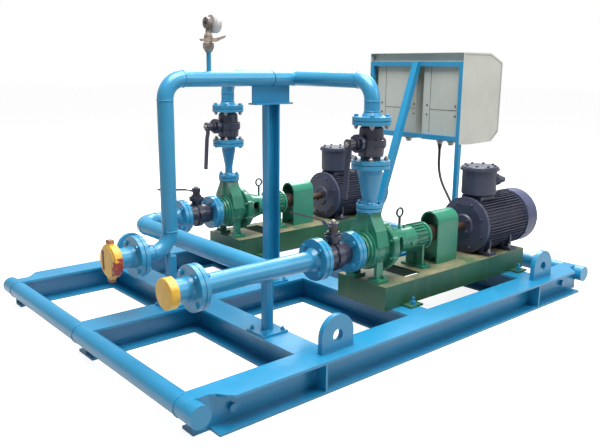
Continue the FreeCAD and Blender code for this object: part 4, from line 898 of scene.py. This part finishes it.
class SKID_OT_weld_seams(bpy.types.Operator):
    """Lay weld beads where pipes, bends, hubs, plates and beams meet"""

    bl_idname = "pump_skid.weld_seams"
    bl_label = "Weld seams"

    def execute(self, context):
        size = context.scene.skid_hardware.seam
        self.pipe_seams(size)
        self.skid_seams(size)
        return {"FINISHED"}

    def pipe_seams(self, size):
        bm = bmesh.new()
        near, far = LINES["near"], LINES["far"]
        rings = [((x, near, AXIS_HEIGHT), X_AXIS, SUCTION_PIPE) for x in (-1.0595, -0.4975)]
        rings += [((x, far, AXIS_HEIGHT), X_AXIS, SUCTION_PIPE) for x in (-0.4975, -0.621)]
        rings.append(((CROSS_LINE, far - SUCTION_BEND, AXIS_HEIGHT), Y_AXIS, SUCTION_PIPE))
        rings += [((x, 0, AXIS_HEIGHT), X_AXIS, DELIVERY_PIPE) for x in (-1.0155, -0.979)]
        rings += [
            ((RISER_LINE, 0, AXIS_HEIGHT + DELIVERY_BEND), Z_AXIS, DELIVERY_PIPE),
            ((RISER_LINE, 0, HEADER_HEIGHT - DELIVERY_BEND), Z_AXIS, DELIVERY_PIPE),
            ((RISER_LINE + DELIVERY_BEND, 0, HEADER_HEIGHT), X_AXIS, DELIVERY_PIPE),
            ((HEADER_LINE, near + DELIVERY_BEND, HEADER_HEIGHT), Y_AXIS, DELIVERY_PIPE),
            ((HEADER_LINE, far - DELIVERY_BEND, HEADER_HEIGHT), Y_AXIS, DELIVERY_PIPE),
        ]
        rings += [((HEADER_LINE, line, height), Z_AXIS, DELIVERY_PIPE)
                  for height in (HEADER_HEIGHT - DELIVERY_BEND, 1.078) for line in (near, far)]
        for centre, axis, radius in rings:
            seam_ring(bm, centre, axis, radius, size)
        shadow = bmesh.new()
        # A dark bead round the link pipe's joint: painted shadow of the fillet weld
        seam_ring(shadow, (-0.268, 0, HEADER_HEIGHT), X_AXIS, DELIVERY_PIPE, size * 0.9)
        finish_piece("link_joint", shadow, "skid", FINISHES["joint_shadow_blue"], 60)
        self.branch_seams(bm, size)
        finish_piece("pipe_seams", bm, "skid", FINISHES["pipe_blue"], 60)

    def branch_seams(self, bm, size):
        """Beads where the cross pipe, the link pipe and the prop meet the side of another pipe."""
        near = LINES["near"]
        steps, proud = 48, 0.001
        tee, link, post = [], [], []
        for index in range(steps):
            angle = 2 * math.pi * index / steps
            across, up = math.cos(angle), math.sin(angle)
            tee.append((CROSS_LINE + SUCTION_PIPE * across, near + SUCTION_PIPE * abs(across) + proud,
                        AXIS_HEIGHT + SUCTION_PIPE * up))
            link.append((HEADER_LINE - DELIVERY_PIPE * abs(across) - proud, DELIVERY_PIPE * across,
                         HEADER_HEIGHT + DELIVERY_PIPE * up))
            drop = math.sqrt(SUCTION_PIPE ** 2 - (PROP_RADIUS * up) ** 2)
            post.append((CROSS_LINE + PROP_RADIUS * across, near + PROP_RADIUS * up,
                         AXIS_HEIGHT - drop - proud))
        for points in (tee, link, post):
            bead(bm, points, size, closed=True)

    def skid_seams(self, size):
        bm = bmesh.new()
        thin = size * 0.8
        self.cross_beam_seams(bm, thin)
        self.lug_seams(bm, size, thin)
        self.end_tube_seams(bm, size, thin)
        for x, y in ((CROSS_LINE, LINES["near"]), (RISER_LINE, 0.0)):
            seam_ring(bm, (x, y, BEAM_TOP + 0.011), Z_AXIS, PROP_RADIUS + 0.001, thin, 24)
        for side in (-1, 1):
            y = side * 0.024
            bead(bm, [(POST_LINE - 0.040, y, 0.151), (POST_LINE + 0.040, y, 0.151)], thin)
        steps = [math.radians(15 * index) for index in range(24)]
        leg = 0.0165
        for line in (0.0, 0.8):
            bead(bm, [(END_TUBE_LINE + leg * self.square(math.cos(a)), line + leg * self.square(math.sin(a)),
                       0.1385) for a in steps], thin, True)
        finish_piece("skid_seams", bm, "skid", FINISHES["frame_blue"], 60)

    def cross_beam_seams(self, bm, thin):
        """Beads on the cross beams' flange ends and down both sides of their webs."""
        for line in CROSS_BEAMS:
            for row, toward in ((-BEAM_SPACING, 1), (0.0, -1), (0.0, 1), (BEAM_SPACING, -1)):
                edge = row + toward * BEAM_HALF_WIDTH
                bead(bm, [(line - BEAM_HALF_WIDTH, edge, BEAM_TOP), (line + BEAM_HALF_WIDTH, edge, BEAM_TOP)],
                     thin * 0.6)
                inner = row + toward * WEB_FACE
                for side in (-1, 1):
                    web = line + side * 0.004
                    bead(bm, [(web, inner, 0.014), (web, inner, 0.126)], thin)

    def lug_seams(self, bm, size, thin):
        """Beads along the foot of each lifting lug and on the stiffener below it."""
        web, flange_edge, low, high = 0.9045, 0.9695, 0.0125, 0.1275
        for row in (-1, 1):
            for lug in LUG_LINES:
                for side in (-1, 1):
                    y = BEAM_SPACING * row + side * 0.0130
                    foot = BEAM_TOP + 0.001
                    bead(bm, [(lug - 0.089, y, foot), (lug + 0.089, y, foot)], size)
                    stiff = lug - 0.118 + (0 if side < 0 else 0.010)
                    bead(bm, [(stiff, row * web, low), (stiff, row * flange_edge, low)], thin)
                    bead(bm, [(stiff, row * web, low), (stiff, row * web, high)], thin)

    def end_tube_seams(self, bm, size, thin):
        """Beads where the long beams' webs meet the end tubes, and collars on the left tube."""
        reach = 0.0448
        angles = [math.radians(20 + 70 * step / 8) for step in range(9)]
        for side in (-1, 1):
            for row in (-BEAM_SPACING, 0.0, BEAM_SPACING):
                for edge in (-1, 1):
                    bead(bm, [(END_TUBE_LINE * side - side * reach * math.sin(a), row + edge * WEB_FACE,
                               END_TUBE_HEIGHT - reach * math.cos(a)) for a in angles], thin)
        for y in (-0.845, 0.035, 0.845):
            seam_ring(bm, (-END_TUBE_LINE, y, END_TUBE_HEIGHT), Y_AXIS, 0.0450, size * 0.9)

    @staticmethod
    def square(value):
        return max(-1.0, min(1.0, value * 1.5))


class SKID_OT_skid_fasteners(bpy.types.Operator):
    """Bolt the pump bases, the prop plates and the post plate to the skid"""

    bl_idname = "pump_skid.skid_fasteners"
    bl_label = "Skid fasteners"

    def execute(self, context):
        hardware = context.scene.skid_hardware
        bm = bmesh.new()
        stud = hex_head(hardware.anchor_bolt, hardware.anchor_bolt, stud=hardware.anchor_bolt * 1.3)
        for line in LINES.values():
            for x in (0.020, 0.949):
                for side in (-1, 1):
                    add_copy(bm, stud, Matrix.Translation((x, line + side * 0.193, PLATE_TOP)))
        small = hex_head(0.0095, 0.008, stud=0.007)
        plates = (((POST_LINE, 0), 0.054, 0.044), ((CROSS_LINE, LINES["near"]), 0.048, 0.048),
                  ((RISER_LINE, 0), 0.045, 0.045))
        for (x, y), across, along in plates:
            for dx in (-across, across):
                for dy in (-along, along):
                    add_copy(bm, small, Matrix.Translation((x + dx, y + dy, PLATE_TOP)))
        stud.free()
        small.free()
        finish_piece("base_bolts", bm, "skid", FINISHES["frame_blue"])
        return {"FINISHED"}


class SKID_OT_valve_details(bpy.types.Operator):
    """Add body bolts, bolts round the stem and lever nuts to the ball valves"""

    bl_idname = "pump_skid.valve_details"
    bl_label = "Ball valve details"

    def execute(self, context):
        size = context.scene.skid_hardware.cover_bolt
        bodies, nuts = bmesh.new(), {}
        head = hex_head(size, size * 0.9, washer=False)
        nut = hex_head(0.0125, 0.009, stud=0.004)
        for name, line in LINES.items():
            valves = (
                (name + "_suction", Vector((SUCTION_VALVE_LINE, line, AXIS_HEIGHT)), X_AXIS, Z_AXIS),
                (name + "_delivery", Vector((HEADER_LINE, line, DELIVERY_VALVE_HEIGHT)), Z_AXIS, -X_AXIS),
            )
            for valve, centre, along, out in valves:
                for side, offset in ((-1, 0.016), (1, 0.014)):
                    for matrix in around(centre + along * side * offset, along * side, 0.065, 8, math.pi / 8):
                        spot = matrix.translation - centre
                        if spot.normalized().dot(out) > 0.85:
                            continue
                        add_copy(bodies, head, matrix)
                for matrix in around(centre + out * 0.100, out, 0.0355, 4, math.pi / 4):
                    add_copy(bodies, head, matrix)
                handle = bmesh.new()
                add_copy(handle, nut, frame_at(centre + out * 0.157, out))
                finish_piece(valve + "_lever_nut", handle, valve + "_handle", FINISHES["zinc"])
        head.free()
        nut.free()
        finish_piece("valve_body_bolts", bodies, "skid", FINISHES["valve_dark"])
        return {"FINISHED"}


class SKID_OT_pump_details(bpy.types.Operator):
    """Add casing bolts, bearing cap bolts, plugs and foot bolts to both pumps"""

    bl_idname = "pump_skid.pump_details"
    bl_label = "Pump details"

    def execute(self, context):
        size = context.scene.skid_hardware.cover_bolt
        head = hex_head(size, size * 0.9)
        stud = hex_head(size * 1.25, size * 1.1, stud=size * 0.9)
        cover = hex_head(size * 1.08, size, stud=size * 0.7)
        for name, line in LINES.items():
            bm = bmesh.new()
            for matrix in around((-0.008, line, AXIS_HEIGHT), X_AXIS, 0.1105, 8, math.pi / 8):
                add_copy(bm, cover, matrix)
            for matrix in around((-0.052, line, AXIS_HEIGHT), -X_AXIS, 0.1165, 8, math.pi / 8):
                add_copy(bm, cover, matrix)
            for matrix in around((0.2998, line, AXIS_HEIGHT), X_AXIS, 0.061, 4, math.pi / 4):
                add_copy(bm, head, matrix)
            for side in (-1, 1):
                for x in (HEADER_LINE - 0.024, HEADER_LINE + 0.024):
                    add_copy(bm, stud, Matrix.Translation((x, line + side * 0.094, BASE_TOP + 0.016)))
                add_copy(bm, stud, Matrix.Translation((0.274, line + side * 0.062, BASE_TOP + 0.012)))
            plug = hex_head(0.0095, 0.011)
            add_copy(bm, plug, frame_at((0.152, line, AXIS_HEIGHT + 0.0625), Z_AXIS))
            add_copy(bm, plug, frame_at((0.152, line - 0.0625, AXIS_HEIGHT - 0.01), -Y_AXIS))
            plug.free()
            finish_piece(name + "_pump_bolts", bm, "skid", FINISHES["pump_green"])
        for template in (head, stud, cover):
            template.free()
        return {"FINISHED"}


# Thin fins on each motor, one between each two of the solid's
MOTOR_FINS = 28


class SKID_OT_motor_details(bpy.types.Operator):
    """Add bolts, screws, thin fins, lid rims and gland collars to both motors"""

    bl_idname = "pump_skid.motor_details"
    bl_label = "Motor details"

    def execute(self, context):
        hardware = context.scene.skid_hardware
        size = hardware.cover_bolt
        head = hex_head(size, size * 0.9)
        foot = hex_head(size * 1.5, size * 1.2, stud=size)
        screw = pan_head(hardware.screw * 1.3)
        socket = hex_head(0.027, 0.014, washer=False)
        for name, line in LINES.items():
            bm, bright = bmesh.new(), bmesh.new()
            for matrix in around((0.6645, line, AXIS_HEIGHT), -X_AXIS, 0.1290, 8, math.pi / 8):
                add_copy(bm, head, matrix)
            for matrix in around((0.652, line, AXIS_HEIGHT), -X_AXIS, 0.046, 4, math.pi / 4):
                add_copy(bm, head, matrix)
            for x in (0.726, 0.926):
                for side in (-1, 1):
                    spot = (x, line + side * 0.134, BASE_TOP + 0.018)
                    add_copy(bright, foot, Matrix.Translation(spot))
            for matrix in around((TERMINAL_BOX_LINE, line, 0.746), Z_AXIS, 0.082, 8, math.pi / 8):
                add_copy(bm, head, matrix)
            for index in range(6):
                angle = math.pi / 6 + index * math.pi / 3
                out = Vector((0, math.cos(angle), math.sin(angle)))
                add_copy(bm, screw, frame_at(Vector((1.082, line, AXIS_HEIGHT)) + out * 0.1598, out))
            for index in range(MOTOR_FINS):
                turn = Matrix.Rotation(2 * math.pi * (index + 0.5) / MOTOR_FINS, 4, "X")
                slab(bm, (0.7005, -0.0014, 0.1415), (1.0590, 0.0014, 0.1562),
                     Matrix.Translation((0, line, AXIS_HEIGHT)) @ turn)
            lid = Vector((TERMINAL_BOX_LINE, line, 0.722))
            cylinder(bm, 0.1085, 0.013, frame_at(lid, Z_AXIS), 64)
            for turned, height in ((0, 0.644), (-0.70, 0.668)):
                out = Vector((math.cos(turned), math.sin(turned), 0))
                start = Vector((lid.x, line, height))
                cylinder(bm, 0.032, 0.016, frame_at(start + out * 0.092, out), 32)
                add_copy(bm, socket, frame_at(start + out * 0.108, out))
                if turned:
                    cylinder(bm, 0.020, 0.022, frame_at(start + out * 0.122, out), 24, 0.014)
            finish_piece(name + "_motor_bolts", bm, "skid", FINISHES["motor_grey"])
            finish_piece(name + "_motor_foot_bolts", bright, "skid", FINISHES["zinc"])
        for template in (head, foot, screw, socket):
            template.free()
        return {"FINISHED"}


class SKID_OT_gauge_details(bpy.types.Operator):
    """Give the gauge its dial, tick marks, numerals and glass"""

    bl_idname = "pump_skid.gauge_details"
    bl_label = "Gauge details"

    def execute(self, context):
        centre = Vector((-0.603, 0, 1.476))
        ticks, numerals, zero, sweep = 50, 6, 225, 270
        dial = bmesh.new()
        cylinder(dial, 0.0398, 0.0008, frame_at(centre, X_AXIS), 64)
        finish_piece("gauge_dial", dial, "skid", FINISHES["dial_white"])
        marks = bmesh.new()
        face = Matrix.Translation(centre + X_AXIS * 0.0007)
        for index in range(ticks + 1):
            turn = face @ Matrix.Rotation(math.radians(zero - sweep * index / ticks), 4, "X")
            inner, half = (0.0295, 0.0006) if index % 10 == 0 else (0.0330, 0.0003)
            slab(marks, (0, inner, -half), (0.0004, 0.0365, half), turn)
        upright = Matrix(((0, 0, 1, 0), (1, 0, 0, 0), (0, 1, 0, 0), (0, 0, 0, 1)))
        for index in range(numerals):
            angle = math.radians(zero - sweep * index / (numerals - 1))
            spot = Matrix.Translation((0, math.cos(angle) * 0.0235, math.sin(angle) * 0.0235))
            self.numeral(marks, str(index * 2), face @ spot @ upright)
        finish_piece("gauge_marks", marks, "skid", FINISHES["pointer_black"])
        glass = bmesh.new()
        cylinder(glass, 0.0399, 0.0012, frame_at((-0.5972, 0, centre.z), X_AXIS), 64)
        finish_piece("gauge_glass", glass, "skid", FINISHES["glass"])
        return {"FINISHED"}

    def numeral(self, bm, words, place):
        curve = bpy.data.curves.new("Numeral", "FONT")
        curve.body = words
        curve.size = 0.0085
        curve.extrude = 0.0001
        curve.align_x, curve.align_y = "CENTER", "CENTER"
        mesh = curve_mesh(curve)
        mesh.transform(place)
        bm.from_mesh(mesh)
        bpy.data.meshes.remove(mesh)


# The hood's near side, and the ends of its folded edge as x and z pairs
HOOD_SIDE = -0.0182
HOOD_FOLD = ((1.335, 1.366, 1.618, 1.366), (1.618, 1.366, 1.753, 1.311), (1.753, 1.311, 1.753, 0.848),
             (1.753, 0.848, 1.683, 0.794))


class SKID_OT_panel_details(bpy.types.Operator):
    """Add back seams, latches, screws, glands, the hood's fold and its back strip to the panel"""

    bl_idname = "pump_skid.panel_details"
    bl_label = "Panel details"

    def execute(self, context):
        screw = pan_head(context.scene.skid_hardware.screw)
        bm, seams = bmesh.new(), bmesh.new()
        back, low_z, high_z = CABINET_BACK, CABINET_LOW, CABINET_HIGH
        line, proud = 0.003, 0.0012
        for low_y, high_y in ((0.037, 0.3305), (0.3935, 0.763)):
            wide, tall = high_y - low_y, high_z - low_z
            upright, level = high_y - 0.22 * wide, low_z + 0.41 * tall
            for z in (low_z + 0.022, high_z - 0.022):
                for y in (low_y + 0.022, high_y - 0.022):
                    add_copy(bm, screw, frame_at((back, y, z), -X_AXIS))
            # Seam lines on each cabinet back: thin dark slabs, painted shadow of the panel joints
            slab(seams, (back - proud, low_y + 0.004, level), (back, upright, level + line))
            slab(seams, (back - proud, upright, low_z + 0.10 * tall), (back, upright + line, high_z - 0.004))
            for y in (high_y - 0.13 * wide, low_y + 0.045 * wide):
                for z in (low_z + 0.47 * tall, low_z + 0.34 * tall):
                    cylinder(seams, 0.0062, 0.004, frame_at((back, y, z), -X_AXIS), 16)
        # The hood side's fold: a thin dark bead, painted shadow of the pressed edge
        for x, z, far_x, far_z in HOOD_FOLD:
            bead(seams, [(x, HOOD_SIDE, z), (far_x, HOOD_SIDE, far_z)], 0.0013)
        screw.free()
        # A leaning strip under the roof's back edge, in a lighter copy of the hood paint: painted light
        strip = bmesh.new()
        lean = Matrix.Translation((1.3505, 0, 1.2995)) @ Matrix.Rotation(math.radians(22), 4, "Y")
        slab(strip, (0, -0.0145, 0), (0.002, 0.8145, 0.0815), lean)
        finish_piece("hood_back_strip", strip, "skid", FINISHES["strip_lit_cream"])
        glands = bmesh.new()
        nut = hex_head(0.026, 0.018, washer=False)
        for y in (0.1250, 0.2190, 0.5044, 0.6226):
            add_copy(glands, nut, frame_at((GLAND_LINE, y, CABINET_LOW), -Z_AXIS))
            cylinder(glands, 0.0205, 0.016, frame_at((GLAND_LINE, y, 0.7725), -Z_AXIS), 24, 0.0175)
        nut.free()
        finish_piece("cabinet_glands", glands, "skid", FINISHES["zinc"])
        finish_piece("cabinet_screws", bm, "skid", FINISHES["zinc"])
        finish_piece("cabinet_seams", seams, "skid", FINISHES["seam_shadow_grey"])
        return {"FINISHED"}


ORDER = ("finishes", "stage", "motor_lead", "flange_bolts", "hose_caps", "weld_seams", "skid_fasteners",
         "valve_details", "pump_details", "motor_details", "gauge_details", "panel_details")


class SKID_PT_panel(bpy.types.Panel):
    """Lists the dressing steps and their sizes"""

    bl_idname = "SKID_PT_panel"
    bl_label = "Pump skid"
    bl_space_type = "VIEW_3D"
    bl_region_type = "UI"
    bl_category = "Pump skid"

    def draw(self, context):
        for step in ORDER:
            self.layout.operator("pump_skid." + step)
        for group in (context.scene.skid_paint, context.scene.skid_hardware, context.scene.skid_studio):
            column = self.layout.column()
            for name in group.__annotations__:
                column.prop(group, name)


CLASSES = (SkidPaint, SkidHardware, SkidStudio, SKID_OT_finishes, SKID_OT_stage, SKID_OT_motor_lead,
           SKID_OT_flange_bolts, SKID_OT_hose_caps, SKID_OT_weld_seams, SKID_OT_skid_fasteners,
           SKID_OT_valve_details, SKID_OT_pump_details, SKID_OT_motor_details, SKID_OT_gauge_details,
           SKID_OT_panel_details, SKID_PT_panel)


def register():
    for item in CLASSES:
        bpy.utils.register_class(item)
    bpy.types.Scene.skid_paint = bpy.props.PointerProperty(type=SkidPaint)
    bpy.types.Scene.skid_hardware = bpy.props.PointerProperty(type=SkidHardware)
    bpy.types.Scene.skid_studio = bpy.props.PointerProperty(type=SkidStudio)


def unregister():
    del bpy.types.Scene.skid_studio, bpy.types.Scene.skid_hardware, bpy.types.Scene.skid_paint
    for item in reversed(CLASSES):
        bpy.utils.unregister_class(item)


def main():
    register()
    for step in ORDER:
        getattr(bpy.ops.pump_skid, step)()


if __name__ == "__main__":
    main()
